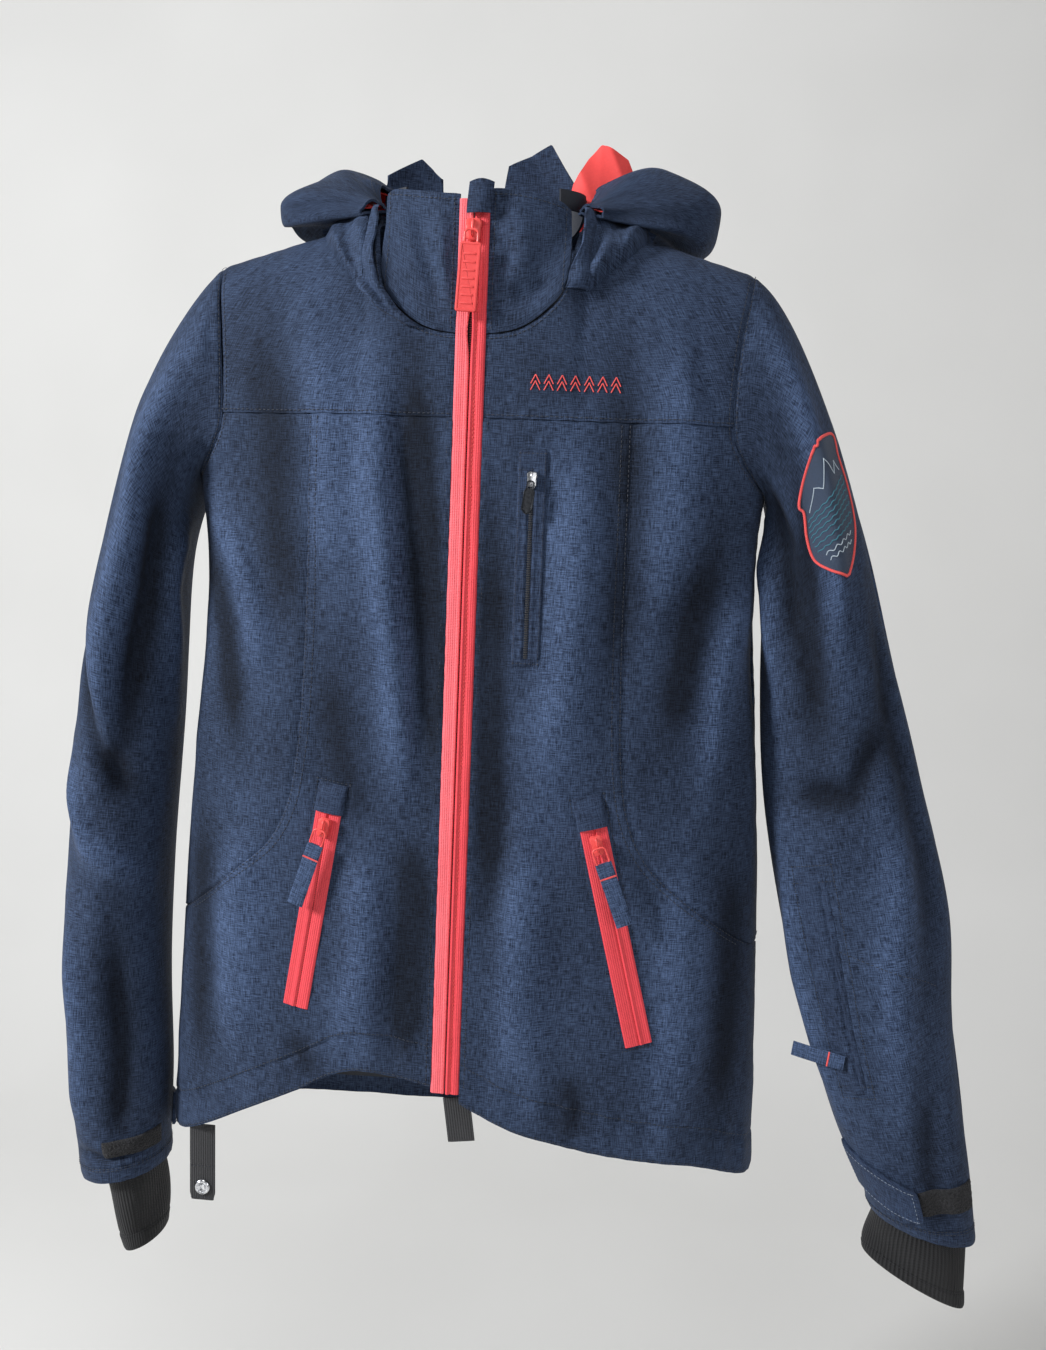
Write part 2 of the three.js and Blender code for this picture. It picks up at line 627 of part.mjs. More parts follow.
function sleevePocket() {
  const p = SLEEVE_POCKET;
  const welt = sleevePatch(LEFT, [p.turn - p.half, p.turn + p.half], [p.from, p.to], 0.6, 1.4, 2, 6);
  const at = sleeveSurface(LEFT);
  const root = at(p.turn + 0.06, 0.72);
  const strap = new THREE.BoxGeometry(38, STRAP, 11, 4, 1, 1);
  strap.deleteAttribute("uv");
  strap.deleteAttribute("normal");
  const solid = mergeVertices(strap, 1e-3);
  solid.translate(-19, 0, 0);
  solid.rotateZ(-0.3);
  solid.rotateY(0.12);
  solid.translate(root.x, root.y - 4.2, root.z);
  return [
    mesh("sleeve_pocket_welt", welt, NAVY_DARK),
    mesh("sleeve_pocket_puller", facingOut(solid), NAVY),
  ];
}

// ---- Hood ------------------------------------------------------------------------------------
const HOOD_START = 76; // degrees round the neck from the front
const HOOD = {
  // how far out from the neck and how high, at the back and at the sides
  back: [[1, 8], [8, -60], [26, -150], [58, -HOOD_DROP + 20], [74, -60], [52, HOOD_RISE - 10]],
  side: [[2, 17], [14, 20], [44, 10], [80, 2], [80, 22], [34, HOOD_RISE]],
};

function hoodAt(turn, v, inset = 0) {
  const degrees = (turn * 180) / Math.PI;
  const share = smooth((Math.abs(degrees - 180) - 8) / 62);
  const taper = lerp(0.3, 1, smooth((180 - HOOD_START - Math.abs(degrees - 180)) / 24));
  const path = new THREE.CatmullRomCurve3(
    HOOD.back.map((b, i) => {
      const s = HOOD.side[i];
      const out = lerp(b[0], s[0], share);
      const height = lerp(b[1], s[1], share);
      const settled = lerp(14, height, taper);
      return vec(out * taper, 0, settled);
    }), false, "centripetal",
  );
  const p = path.getPoint(v);
  const x = (76 + p.x + inset) * Math.sin(turn);
  let y = -(52 + p.x + inset) * Math.cos(turn);
  const body = backDepth(p.z) * fullness(x, Math.min(p.z, shoulderZ(x))) + 5;
  if (y > 0 && Math.abs(x) < 190) y = Math.max(y, body * smooth(y / 30));
  return stretch(x, y, p.z);
}

function hoodSlab(from, to, low, high, rows, inset = 0) {
  const start = ((HOOD_START + inset) * Math.PI) / 180;
  const face = (u, v) => hoodAt(lerp(start, 2 * Math.PI - start, u), lerp(from, to, v));
  return slab(face, 20, rows, low, high);
}

function hood() {
  return [
    mesh("hood_shell", hoodSlab(0, 1, 0, -1.6, 10), NAVY),
    mesh("hood_lining", hoodSlab(0.02, 0.98, -5.6, -6.5, 10, 4), 0xf04a3c, 0.8),
  ];
}

const BRIM_TOP = through([
  [-84, 26], [-72, 50], [-58, 62], [-46, 52], [-34, 31], [-4, 29], [8, 50], [16, 60], [41, 73],
  [52, 62], [59, 44], [68, 34],
]);

function hoodBrim() {
  const face = (u, v) => {
    const x = lerp(-69, 60, u);
    const z = lerp(BRIM_TOP(x) * (HOOD_RISE / 48), 21, v);
    const y = 54 - 22 * (x / 82) ** 4 - 3 * v;
    return stretch(x, y, z);
  };
  return mesh("hood_brim", slab(face, 22, 2, -0.8, 0.8), NAVY);
}

// ---- Straps below the hem --------------------------------------------------------------------
const SNAP_X = -195;

function snapStrap() {
  const top = -680;
  const strap = new THREE.BoxGeometry(SNAP_STRAP_WIDTH, STRAP, SNAP_STRAP_LENGTH);
  const y = (-0.5 - frontDepth(top) * fullness(SNAP_X, top)) * KY + LINING_FACE + LINING + 5.5 * Math.max(1, KY);
  strap.translate(SNAP_X * KX, y, top * KZ - SNAP_STRAP_LENGTH / 2 + 4);
  const snap = new THREE.CylinderGeometry(SNAP_DIAMETER / 2, SNAP_DIAMETER / 2, 2, 24);
  snap.translate(SNAP_X * KX, y - STRAP / 2 - 1.3, top * KZ - SNAP_STRAP_LENGTH + 15);
  return [
    mesh("snap_strap", facingOut(welded(strap)), BLACK, 0.9),
    mesh("snap", facingOut(welded(snap)), 0xc9ccd0, 0.3, 1),
  ];
}

function zipTab() {
  const tab = new THREE.BoxGeometry(20, 1.2, 34);
  tab.rotateY(-0.14);
  tab.translate(10, zipY(ZIP_BOTTOM) * KY + 6.5, ZIP_BOTTOM * KZ - 24);
  return mesh("zip_tab", facingOut(welded(tab)), BLACK, 0.9);
}

function jacket() {
  const group = new THREE.Group();
  group.name = "ski_jacket";
  for (const side of [RIGHT, LEFT]) {
    group.add(frontPanel(side), sidePanel(side), frontYoke(side), bodyLining(side), frontCollar(side));
    group.add(zipTape(side), sleeveHalf(side, false), sleeveHalf(side, true), sleeveLining(side));
    group.add(gaiter(side), loopPatch(side), cuffTab(side), ...handPocket(side));
  }
  group.add(backPanel(), backYoke(), backLining(), backCollar(), chinGuard());
  group.add(zipChain(), zipSlider(), zipPuller(), ...chestPocket(), chestMotif());
  group.add(sleeveBadge(), ...sleevePocket(), ...hood(), hoodBrim());
  group.add(...snapStrap(), zipTab());
  return group;
}

export default jacket();
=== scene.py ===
"""Looks of a hooded ski jacket that hangs closed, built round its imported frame.

Every length in this file is in millimetres until a mesh is made; meshes are in metres.
+X is the wearer's left, -Y the front and +Z up.
"""

import logging
import math
from dataclasses import dataclass, field
from enum import Enum
from typing import Callable, Optional, Sequence

import bpy
import numpy as np
from mathutils import Matrix, Vector


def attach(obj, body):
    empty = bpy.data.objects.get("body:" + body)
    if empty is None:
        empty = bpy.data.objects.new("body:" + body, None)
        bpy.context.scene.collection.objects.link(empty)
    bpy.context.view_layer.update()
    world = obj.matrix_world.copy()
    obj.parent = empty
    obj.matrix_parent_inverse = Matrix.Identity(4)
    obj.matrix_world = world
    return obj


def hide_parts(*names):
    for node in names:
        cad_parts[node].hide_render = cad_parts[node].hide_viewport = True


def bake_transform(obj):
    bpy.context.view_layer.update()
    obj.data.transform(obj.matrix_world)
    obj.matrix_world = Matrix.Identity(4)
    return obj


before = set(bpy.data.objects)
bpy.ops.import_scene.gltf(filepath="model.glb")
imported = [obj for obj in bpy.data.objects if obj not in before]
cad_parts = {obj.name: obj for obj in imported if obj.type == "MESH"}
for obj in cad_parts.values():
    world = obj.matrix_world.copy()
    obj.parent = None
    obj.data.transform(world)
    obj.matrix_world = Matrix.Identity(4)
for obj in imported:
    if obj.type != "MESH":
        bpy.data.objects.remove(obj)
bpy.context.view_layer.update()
LOG = logging.getLogger("jacket")
MM = 0.001
TAU = 2 * math.pi
Array = np.ndarray

# painted light and shade of the cloth: its level where it lies flat, how much a lift of 1 mm lightens it, and
# the level of pieces that have no folds of their own
FLAT_PAINTED_LIGHT = 0.52
PAINTED_LIGHT_PER_MM = 0.085
PLAIN_PAINTED_LIGHT = 0.62
# the folds are listed by their gentle height and stand this many times higher
FOLD_DEPTH = 3.0
# keeps the last column of a panel off the sharp line at the side of the body
JUST_INSIDE = 0.9999


class Side(Enum):
    """The wearer's side."""

    RIGHT = -1
    LEFT = 1

    @property
    def word(self) -> str:
        """The word that ends the names of this side's nodes."""
        return self.name.lower()


# ---- Numbers and curves ------------------------------------------------------------------------


def lerp(a: float, b: float, t: Array) -> Array:
    """Blends from a to b."""
    return a + (b - a) * t


def smooth(t: Array) -> Array:
    """Eases from 0 to 1 and stays level outside."""
    t = np.clip(t, 0.0, 1.0)
    return t * t * (3.0 - 2.0 * t)


def shares(count: int) -> Array:
    """Gives evenly spaced places from 0 to 1."""
    return np.linspace(0, 1, count)


def grid(down: Array, across: Array) -> list[Array]:
    """Spreads places down and across into rows and columns."""
    return np.meshgrid(down, across, indexing="ij")


def both(a: Array, b: Array) -> tuple[Array, Array]:
    """Gives two coordinates the same form."""
    return tuple(np.broadcast_arrays(np.asarray(a, float), np.asarray(b, float)))


def crest(away: Array, width: float) -> Array:
    """Gives a smooth hump that is 1 in the middle and dies out at about its width."""
    return np.exp(-((away / width) ** 2))


def moved(points: Array, at: Array) -> Array:
    """Moves and turns points by a 4 by 4 matrix."""
    return points @ at[:3, :3].T + at[:3, 3]


def around(count: int) -> Array:
    """Gives evenly spaced turns of a full circle."""
    return np.arange(count) * TAU / count


def forward(count: int) -> Array:
    """Gives the forward direction once for each point of a line."""
    return np.tile((0.0, -1.0, 0.0), (count, 1))


def between(p0: Array, p1: Array, p2: Array, p3: Array, w: Array) -> Array:
    """Gives points of the smooth curve through four points, between its middle two.

    Args:
        p0: the point before.
        p1: the point where the share is 0.
        p2: the point where the share is 1.
        p3: the point after.
        w: shares of the way, with a last axis of one.

    Returns:
        The points.
    """
    d0, d1, d2 = (np.maximum(np.sqrt(np.linalg.norm(n - m, axis=-1, keepdims=True)), 1e-4)
                  for m, n in ((p0, p1), (p1, p2), (p2, p3)))
    s1 = ((p1 - p0) / d0 - (p2 - p0) / (d0 + d1) + (p2 - p1) / d1) * d1
    s2 = ((p2 - p1) / d1 - (p3 - p1) / (d1 + d2) + (p3 - p2) / d2) * d1
    return p1 + s1 * w + (-3 * p1 + 3 * p2 - 2 * s1 - s2) * w**2 + (2 * p1 - 2 * p2 + s1 + s2) * w**3


class Through:
    """A smooth function of one number that passes through given pairs."""

    def __init__(self, pairs: Sequence[tuple[float, float]]) -> None:
        """Stores the pairs in rising order.

        Args:
            pairs: the numbers and the values there.
        """
        ordered = sorted((float(a), float(b)) for a, b in pairs)
        self.xs = np.array([p[0] for p in ordered])
        self.ys = np.array([p[1] for p in ordered])
        last = len(ordered) - 1
        low = np.maximum(np.arange(last + 1) - 1, 0)
        high = np.minimum(np.arange(last + 1) + 1, last)
        self.slopes = (self.ys[high] - self.ys[low]) / (self.xs[high] - self.xs[low])

    def __call__(self, x: Array) -> Array:
        """Reads the function.

        Args:
            x: one number or an array.

        Returns:
            The value or values there.
        """
        x = np.asarray(x, float)
        i = np.clip(np.searchsorted(self.xs, x, side="right") - 1, 0, len(self.xs) - 2)
        width = self.xs[i + 1] - self.xs[i]
        t = np.clip((x - self.xs[i]) / width, 0.0, 1.0)
        a = self.ys[i] * (1 + 2 * t) * (1 - t) ** 2
        b = self.ys[i + 1] * t * t * (3 - 2 * t)
        bend = self.slopes[i] * t * (1 - t) ** 2 - self.slopes[i + 1] * t * t * (1 - t)
        return a + b + width * bend


class Rail:
    """A smooth path through points in space, read from 0 to 1 with one step per point."""

    def __init__(self, points: Sequence[Sequence[float]], samples: int = 60) -> None:
        """Samples the path.

        Args:
            points: the points that it passes through.
            samples: how many samples lie between two points.
        """
        p = np.array(points, float)
        p = np.vstack([2 * p[0] - p[1], p, 2 * p[-1] - p[-2]])
        w = np.linspace(0, 1, samples, endpoint=False)[:, None]
        rows = [between(p[i - 1], p[i], p[i + 1], p[i + 2], w) for i in range(1, len(p) - 2)]
        self.table = np.vstack(rows + [p[-2][None]])

    def __call__(self, t: Array) -> Array:
        """Reads points of the path.

        Args:
            t: places from 0 to 1.

        Returns:
            The points, with one more axis than t.
        """
        spots = np.clip(np.asarray(t, float), 0, 1) * (len(self.table) - 1)
        i = np.minimum(spots.astype(int), len(self.table) - 2)
        share = (spots - i)[..., None]
        return self.table[i] * (1 - share) + self.table[i + 1] * share


@dataclass(frozen=True)
class Fold:
    """A soft ridge, or with a negative height a valley, along a line on a piece of cloth."""

    line: tuple[tuple[float, float], ...]
    width: float
    height: float
    scale: tuple[float, float] = (1.0, 1.0)

    def lift(self, a: Array, b: Array) -> Array:
        """Works out how far the fold raises the cloth.

        Args:
            a: first coordinate on the cloth.
            b: second coordinate on the cloth.

        Returns:
            The lift in millimetres.
        """
        points = np.array(self.line, float) * self.scale
        q = np.stack([a * self.scale[0], b * self.scale[1]], axis=-1)
        steps = np.linalg.norm(np.diff(points, axis=0), axis=1)
        total, run = steps.sum(), 0.0
        best = np.full(q.shape[:-1], 1e9)
        place = np.zeros(q.shape[:-1])
        for start, end, step in zip(points[:-1], points[1:], steps):
            along = np.clip(((q - start) @ (end - start)) / step**2, 0, 1)
            away = np.linalg.norm(q - start - along[..., None] * (end - start), axis=-1)
            closer = away < best
            best = np.where(closer, away, best)
            place = np.where(closer, (run + along * step) / total, place)
            run += step
        ends = smooth(place / 0.3) * smooth((1 - place) / 0.3)
        return FOLD_DEPTH * self.height * crest(best, self.width) * (0.25 + 0.75 * ends)


@dataclass(frozen=True)
class Ripple:
    """Gentle unevenness made of waves that cross each other, the same on every run."""

    seed: int
    short: float
    long: float
    height: float
    waves: int = 18
    stretch: float = 1.0

    def lift(self, a: Array, b: Array) -> Array:
        """Works out the unevenness.

        Args:
            a: first coordinate on the cloth, in millimetres.
            b: second coordinate on the cloth, in millimetres.

        Returns:
            The lift in millimetres.
        """
        dice = np.random.default_rng(self.seed)
        total = np.zeros(np.broadcast(a, b).shape)
        for _ in range(self.waves):
            length = self.short * (self.long / self.short) ** dice.random()
            turn, phase = dice.random(2) * TAU
            across, down = math.cos(turn) / length, math.sin(turn) / (length * self.stretch)
            total += np.sin(TAU * (a * across + b * down) + phase)
        return self.height * total / math.sqrt(self.waves)


# ---- Cloth surfaces -----------------------------------------------------------------------------


class Skin:
    """A surface of the jacket, read by two coordinates, with its folds."""

    facing = 1.0
    step = 0.6
    folds: tuple[Fold, ...] = ()

    def base(self, a: Array, b: Array) -> Array:
        """Gives the points of the smooth surface."""
        raise NotImplementedError

    def relief(self, a: Array, b: Array) -> Array:
        """Gives the lift of the folds."""
        return np.zeros(np.broadcast(a, b).shape)

    def level(self, a: Array, b: Array) -> Array:
        """Gives the painted shade of each place, from 0, darkest in a fold's valley, to 1, lightest on its
        ridge.
        """
        lift = sum(f.lift(a, b) for f in self.folds) if self.folds else np.zeros(np.broadcast(a, b).shape)
        return FLAT_PAINTED_LIGHT + PAINTED_LIGHT_PER_MM * lift

    def steps(self) -> tuple[float, float]:
        """Gives the small steps that are used to find the normal."""
        return self.step, self.step

    def normal(self, a: Array, b: Array) -> Array:
        """Finds the outward normals.

        Args:
            a: first coordinates.
            b: second coordinates.

        Returns:
            Unit vectors.
        """
        da, db = self.steps()
        along = self.base(a + da, b) - self.base(a - da, b)
        down = self.base(a, b + db) - self.base(a, b - db)
        out = np.cross(along, down) * self.facing
        return out / np.maximum(np.linalg.norm(out, axis=-1, keepdims=True), 1e-9)

    def at(self, a: Array, b: Array, out: Array = 0.0) -> Array:
        """Gives points on the folded cloth.

        Args:
            a: first coordinates.
            b: second coordinates.
            out: how far above the cloth.

        Returns:
            The points in millimetres.
        """
        a, b = both(a, b)
        lift = self.relief(a, b) + out
        return self.base(a, b) + self.normal(a, b) * lift[..., None]


@dataclass
class Torso:
    """The outline of the jacket's body."""

    neck_x: float = 76.0
    shoulder_x: float = 192.0
    shoulder_z: float = -27.0
    hem_z: float = -688.0
    yoke_z: float = -134.0
    back_yoke_z: float = -112.0
    armpit_z: float = -180.0
    back_hem_z: float = -683.0
    half_width: Through = Through([
        (40, 262), (-27, 250), (-80, 240), (-137, 226), (-160, 216), (-180, 208), (-284, 204), (-380, 212),
        (-478, 220), (-690, 228)])
    armhole: Through = Through([(20, 193), (-27, 192), (-80, 184), (-137, 182), (-160, 191), (-180, 208)])
    back_depth: Through = Through([(30, 44), (-60, 56), (-150, 62), (-300, 58), (-450, 52), (-690, 50)])
    hem_right: Through = Through([(0, -613), (30, -607), (72, -604), (111, -624), (152, -646), (207, -678),
        (230, -688)])
    hem_left: Through = Through([(0, -615), (20, -626), (55, -641), (113, -654), (186, -667), (230, -688)])
    neckline: Through = Through([(0, -79), (30, -75), (50, -63), (64, -45), (71, -16), (76, 8)])
    back_neck: Through = Through([(0, -8), (40, -6), (64, 2), (76, 8)])

    def shoulder(self, x: Array) -> Array:
        """Gives the height of the shoulder line at x."""
        return lerp(8, self.shoulder_z, (np.abs(x) - self.neck_x) / (self.shoulder_x - self.neck_x))

    def fullness(self, x: Array, z: Array) -> Array:
        """Gives how full the body is, from 0 at its edges to 1."""
        side = (1 - np.minimum(1, np.abs(x) / self.half_width(z)) ** 2.5) ** 0.4
        top = self.shoulder(x) + 165 * np.maximum(0, 1 - (x / self.neck_x) ** 2)
        return side * np.sqrt(1 - np.exp(-np.maximum(0, top - z) / 55))

    def front_depth(self, z: Array) -> Array:
        """Gives how far the front stands forward at a height."""
        return 60 + 26 * (13 - z) / 628

    def hem(self, x: Array) -> Array:
        """Gives the height of the front hem."""
        return np.where(x < 0, self.hem_right(-x), self.hem_left(x))

    def hang(self, x: Array, z: Array) -> Array:
        """Lowers a level row so that the rows near the hem follow it."""
        return z + (self.hem(x) - self.hem_z) * smooth((-420 - z) / (-420 - self.hem_z))

    def side_edge(self, z: Array) -> Array:
        """Gives the half width of the body at a height."""
        return np.where(z > self.armpit_z, self.armhole(z) - 0.6, self.half_width(z) * JUST_INSIDE)


TORSO = Torso()
# the lines that sliders run along: the cloth stays where the frame has it beside them
QUIET_LINES = (
    ((0.0, 40.0), (0.0, -640.0), 17.0),
    ((46.0, -140.0), (46.0, -306.0), 15.0),
    ((-88.0, -392.0), (-113.0, -560.0), 20.0),
    ((90.0, -392.0), (137.0, -571.0), 20.0),
    ((-102.0, -420.0), (-122.0, -480.0), 22.0),
    ((104.0, -420.0), (122.0, -490.0), 22.0),
)


# the middle lines of the chest pocket and of the two hand pockets, which are framed by stitches
STITCHED_BOXES = (
    ((46.0, -158.0), (46.0, -292.0)),
    ((-88.5, -400.0), (-113.0, -560.0)),
    ((94.0, -400.0), (137.0, -571.0)),
)


def away_from(a: Array, b: Array, start: tuple[float, float], end: tuple[float, float]) -> Array:
    """Measures how far points lie from a straight line.

    Args:
        a: first coordinates of the points.
        b: second coordinates.
        start: where the line starts.
        end: where it ends.

    Returns:
        The distances.
    """
    p, s, e = np.stack([a, b], -1), np.array(start), np.array(end)
    along = np.clip(((p - s) @ (e - s)) / ((e - s) @ (e - s)), 0, 1)
    return np.linalg.norm(p - s - along[..., None] * (e - s), axis=-1)


def above_linings(lift: Array) -> Array:
    """Raises the folds so that no valley reaches the linings and pocket bags."""
    return 1.3 + 0.9 * np.logaddexp(0, (lift + 1.2) / 0.9) - 2.9


class FrontSkin(Skin):
    """The front of the body, read by x and z."""

    folds = (
        Fold(((-70, -95), (-58, -200), (-40, -330), (-32, -420)), 15, 3.6),
        Fold(((-38, -90), (-34, -180), (-22, -300), (-20, -400)), 13, -4.2),
        Fold(((-112, -60), (-96, -150), (-92, -260)), 20, 2.2),
        Fold(((-150, -60), (-140, -150), (-128, -300)), 22, -2.0),
        Fold(((-30, -420), (-28, -520), (-34, -600)), 15, -3.4),
        Fold(((-62, -430), (-60, -520), (-72, -600)), 17, 2.8),
        Fold(((-98, -300), (-84, -370), (-64, -440)), 16, -1.8),
        Fold(((-190, -190), (-160, -250), (-142, -330)), 13, 2.4),
        Fold(((-204, -215), (-178, -290), (-166, -380)), 12, -2.4),
        Fold(((-150, -420), (-162, -520), (-158, -620)), 22, 2.4),
        Fold(((-196, -400), (-194, -520), (-190, -640)), 16, -2.2),
        Fold(((20, -180), (22, -300), (26, -420), (30, -520)), 12, -2.6),
        Fold(((72, -140), (82, -230), (76, -330), (66, -410)), 20, 3.2),
        Fold(((104, -90), (112, -200), (104, -330)), 15, -2.2),
        Fold(((146, -60), (150, -160), (142, -280)), 20, 2.0),
        Fold(((178, -200), (160, -270), (148, -360)), 13, -3.0),
        Fold(((200, -230), (184, -310), (176, -400)), 11, 2.4),
        Fold(((56, -420), (52, -520), (60, -620)), 18, 3.0),
        Fold(((86, -590), (92, -620), (90, -650)), 12, -1.8),
        Fold(((160, -430), (168, -540), (160, -650)), 20, 2.8),
        Fold(((198, -420), (200, -540), (196, -650)), 15, -2.4),
        Fold(((-118, -578), (-104, -600), (-96, -616)), 9, -1.6),
        Fold(((30, -90), (60, -110), (96, -112)), 14, -0.8),
    )
    waves = (Ripple(11, 70, 160, 1.5, stretch=2.4), Ripple(12, 26, 55, 0.35, stretch=1.6))

    def base(self, a: Array, b: Array) -> Array:
        """Gives the points of the smooth front."""
        a, b = both(a, b)
        return np.stack([a, -0.5 - TORSO.front_depth(b) * TORSO.fullness(a, b), b], -1)

    def relief(self, a: Array, b: Array) -> Array:
        """Gives the lift of the folds, still beside the zips."""
        a, b = both(a, b)
        lift = sum(f.lift(a, b) for f in self.folds) + sum(w.lift(a, b) for w in self.waves)
        lift = above_linings(lift) * smooth((TORSO.armhole(b) - np.abs(a)) / 16 + (TORSO.armpit_z - b) / 60)
        for start, end, room in QUIET_LINES:
            lift = lift * (1 - crest(away_from(a, b, start, end), room))
        above = b - TORSO.hem(a)
        gather = crest(above - 22, 17) * 1.15 * np.sin(a / 3.1 + 2.2 * np.sin(a / 17.0))
        groove = 1.3 * crest(above - 27, 1.5) * smooth((-520 - b) / 20)
        for (start, end), room in zip(STITCHED_BOXES, (11.2, 12.2, 12.2)):
            groove = groove + 0.9 * crest(away_from(a, b, start, end) - room, 1.1)
        return lift + (gather - groove) * smooth((np.abs(a) - 12) / 10)


class BackSkin(Skin):
    """The back of the body, read by x and z."""

    facing = -1.0
    folds = (
        Fold(((-120, -150), (-80, -320), (-90, -520)), 26, 3.0),
        Fold(((-60, -140), (-20, -300), (-30, -560)), 24, -3.0),
        Fold(((20, -150), (50, -330), (34, -600)), 24, 3.0),
        Fold(((110, -150), (100, -300), (120, -560)), 26, -2.6),
        Fold(((186, -220), (150, -300), (140, -420)), 14, 2.6),
        Fold(((-186, -220), (-150, -300), (-142, -420)), 14, 2.6),
        Fold(((-170, -420), (-176, -540), (-170, -660)), 20, -2.2),
        Fold(((170, -420), (176, -540), (170, -660)), 20, -2.2),
    )
    waves = (Ripple(21, 80, 180, 1.3, stretch=2.2), Ripple(22, 26, 55, 0.35, stretch=1.6))

    def base(self, a: Array, b: Array) -> Array:
        """Gives the points of the smooth back."""
        a, b = both(a, b)
        return np.stack([a, 0.5 + TORSO.back_depth(b) * TORSO.fullness(a, b), b], -1)

    def relief(self, a: Array, b: Array) -> Array:
        """Gives the lift of the folds, still under the hood."""
        a, b = both(a, b)
        lift = sum(f.lift(a, b) for f in self.folds) + sum(w.lift(a, b) for w in self.waves)
        gather = crest(b - TORSO.back_hem_z - 30, 16)
        rows = 0.5 * gather * np.sin(a / 3.1 + 2.2 * np.sin(a / 17.0))
        return lift * smooth((-95 - b) / 90) + rows


class SleeveSkin(Skin):
    """A sleeve, read by its turn from the outside round the front, and its station from the shoulder."""

    RINGS = {
        Side.RIGHT: (
            (192, -27, 208, -180, 50, 0), (220, -54, 211.5, -196, 50, 0), (249, -112, 217, -216, 50, -1),
            (275, -188, 222, -245, 51, -2),
            (295, -275, 226, -305, 52, -4), (304, -382, 229, -392, 52, -7), (311, -484, 233, -486, 50, -11),
            (312, -570, 235, -570, 48, -15),
            (309, -650, 232.5, -642, 45, -19), (303, -700, 231, -690, 42, -22),
            (298, -727, 230, -716, 40, -24)),
        Side.LEFT: (
            (192, -27, 208, -180, 37, 0), (222, -58, 211.5, -196, 37, 0), (252, -130, 211.5, -228, 37, -2),
            (280, -206, 210.5, -262, 37, -4),
            (303, -284, 212, -318, 37, -7), (330, -374, 219, -403, 37, -10), (356, -468, 240, -498, 37, -14),
            (364, -547, 262, -573, 36, -18),
            (377, -625, 288, -645, 34, -22), (389, -690, 309, -690, 32, -24),
            (394, -722, 314, -703, 30, -25)),
    }
    SCALE = (46.0, 700.0)
    FOLDS = {
        Side.RIGHT: (
            ((1.2, 0.10), (1.6, 0.30), (1.3, 0.52), 15, 3.0),
            ((2.2, 0.18), (2.3, 0.36), (1.9, 0.52), 13, -3.2),
            ((0.7, 0.42), (1.5, 0.50), (2.5, 0.53), 9, -2.6),
            ((0.5, 0.50), (1.4, 0.57), (2.6, 0.60), 10, 2.4),
            ((0.9, 0.62), (1.2, 0.74), (1.0, 0.88), 14, 2.4),
            ((1.9, 0.62), (2.1, 0.74), (1.9, 0.90), 13, -2.4),
            ((2.9, 0.20), (2.7, 0.34), (3.0, 0.46), 10, 2.2),
            ((0.3, 0.20), (0.5, 0.34), (0.4, 0.46), 13, -1.8), ((4.4, 0.15), (4.8, 0.4), (4.4, 0.6), 18, 2.6),
            ((5.5, 0.15), (5.3, 0.4), (5.6, 0.7), 18, -2.2),
            ((3.9, 0.5), (4.6, 0.56), (5.4, 0.52), 10, -2.2),
            ((1.0, 0.90), (1.6, 0.93), (2.4, 0.92), 8, -1.2)),
        Side.LEFT: (
            ((0.9, 0.08), (1.2, 0.24), (1.5, 0.42), 13, 2.4),
            ((2.6, 0.10), (2.2, 0.22), (2.0, 0.38), 11, -3.0),
            ((2.95, 0.14), (2.6, 0.28), (2.5, 0.42), 9, 2.8),
            ((1.5, 0.16), (1.7, 0.34), (1.9, 0.50), 14, -2.4),
            ((0.8, 0.44), (1.5, 0.50), (2.4, 0.49), 9, -2.0),
            ((0.9, 0.50), (1.3, 0.62), (1.5, 0.78), 13, 2.6),
            ((0.5, 0.34), (0.7, 0.50), (0.9, 0.66), 12, -1.8),
            ((1.1, 0.74), (1.3, 0.86), (1.2, 0.95), 11, -1.6),
            ((2.5, 0.52), (2.75, 0.64), (2.7, 0.78), 10, 2.0),
            ((4.4, 0.15), (4.8, 0.4), (4.4, 0.6), 18, 2.6), ((5.5, 0.15), (5.3, 0.4), (5.6, 0.7), 18, -2.2),
            ((3.9, 0.5), (4.6, 0.56), (5.4, 0.52), 10, -2.2)),
    }

    def __init__(self, side: Side) -> None:
        """Reads the rings of one side."""
        self.side = side
        sign = side.value
        rings = self.RINGS[side]
        self.outer = Rail([(sign * r[0], 0, r[1]) for r in rings])
        self.inner = Rail([(sign * r[2], 0, r[3]) for r in rings])
        self.sizes = Rail([(r[4], r[5], 0) for r in rings])
        self.facing = float(sign)
        self.folds = tuple(Fold(row[:-2], row[-2], row[-1], self.SCALE) for row in self.FOLDS[side])
        self.waves = Ripple(31 + sign, 60, 140, 1.1, stretch=2.0)

    def steps(self) -> tuple[float, float]:
        """Gives the small steps that are used to find the normal."""
        return 0.02, 0.0012

    def base(self, a: Array, b: Array) -> Array:
        """Gives the points of the smooth sleeve."""
        a, b = both(a, b)
        b = np.clip(b, 0, 1)
        o, i, size = self.outer(b), self.inner(b), self.sizes(b)
        point = (o + i) / 2 + (o - i) / 2 * np.cos(a)[..., None]
        point[..., 1] = size[..., 1] - size[..., 0] * np.sin(a)
        turn = np.mod(a, TAU)
        half = np.where(turn <= math.pi, turn, TAU - turn)
        z = lerp(TORSO.shoulder_z, TORSO.armpit_z, (1 - np.cos(half)) / 2)
        x = self.side.value * TORSO.armhole(z)
        full = TORSO.fullness(x, z)
        y = np.where(turn <= math.pi, -0.5 - TORSO.front_depth(z) * full, 0.5 + TORSO.back_depth(z) * full)
        hole = np.stack([x - self.side.value * 0.5, y, z], -1)
        share = smooth(b / 0.22)[..., None]
        return hole * (1 - share) + point * share

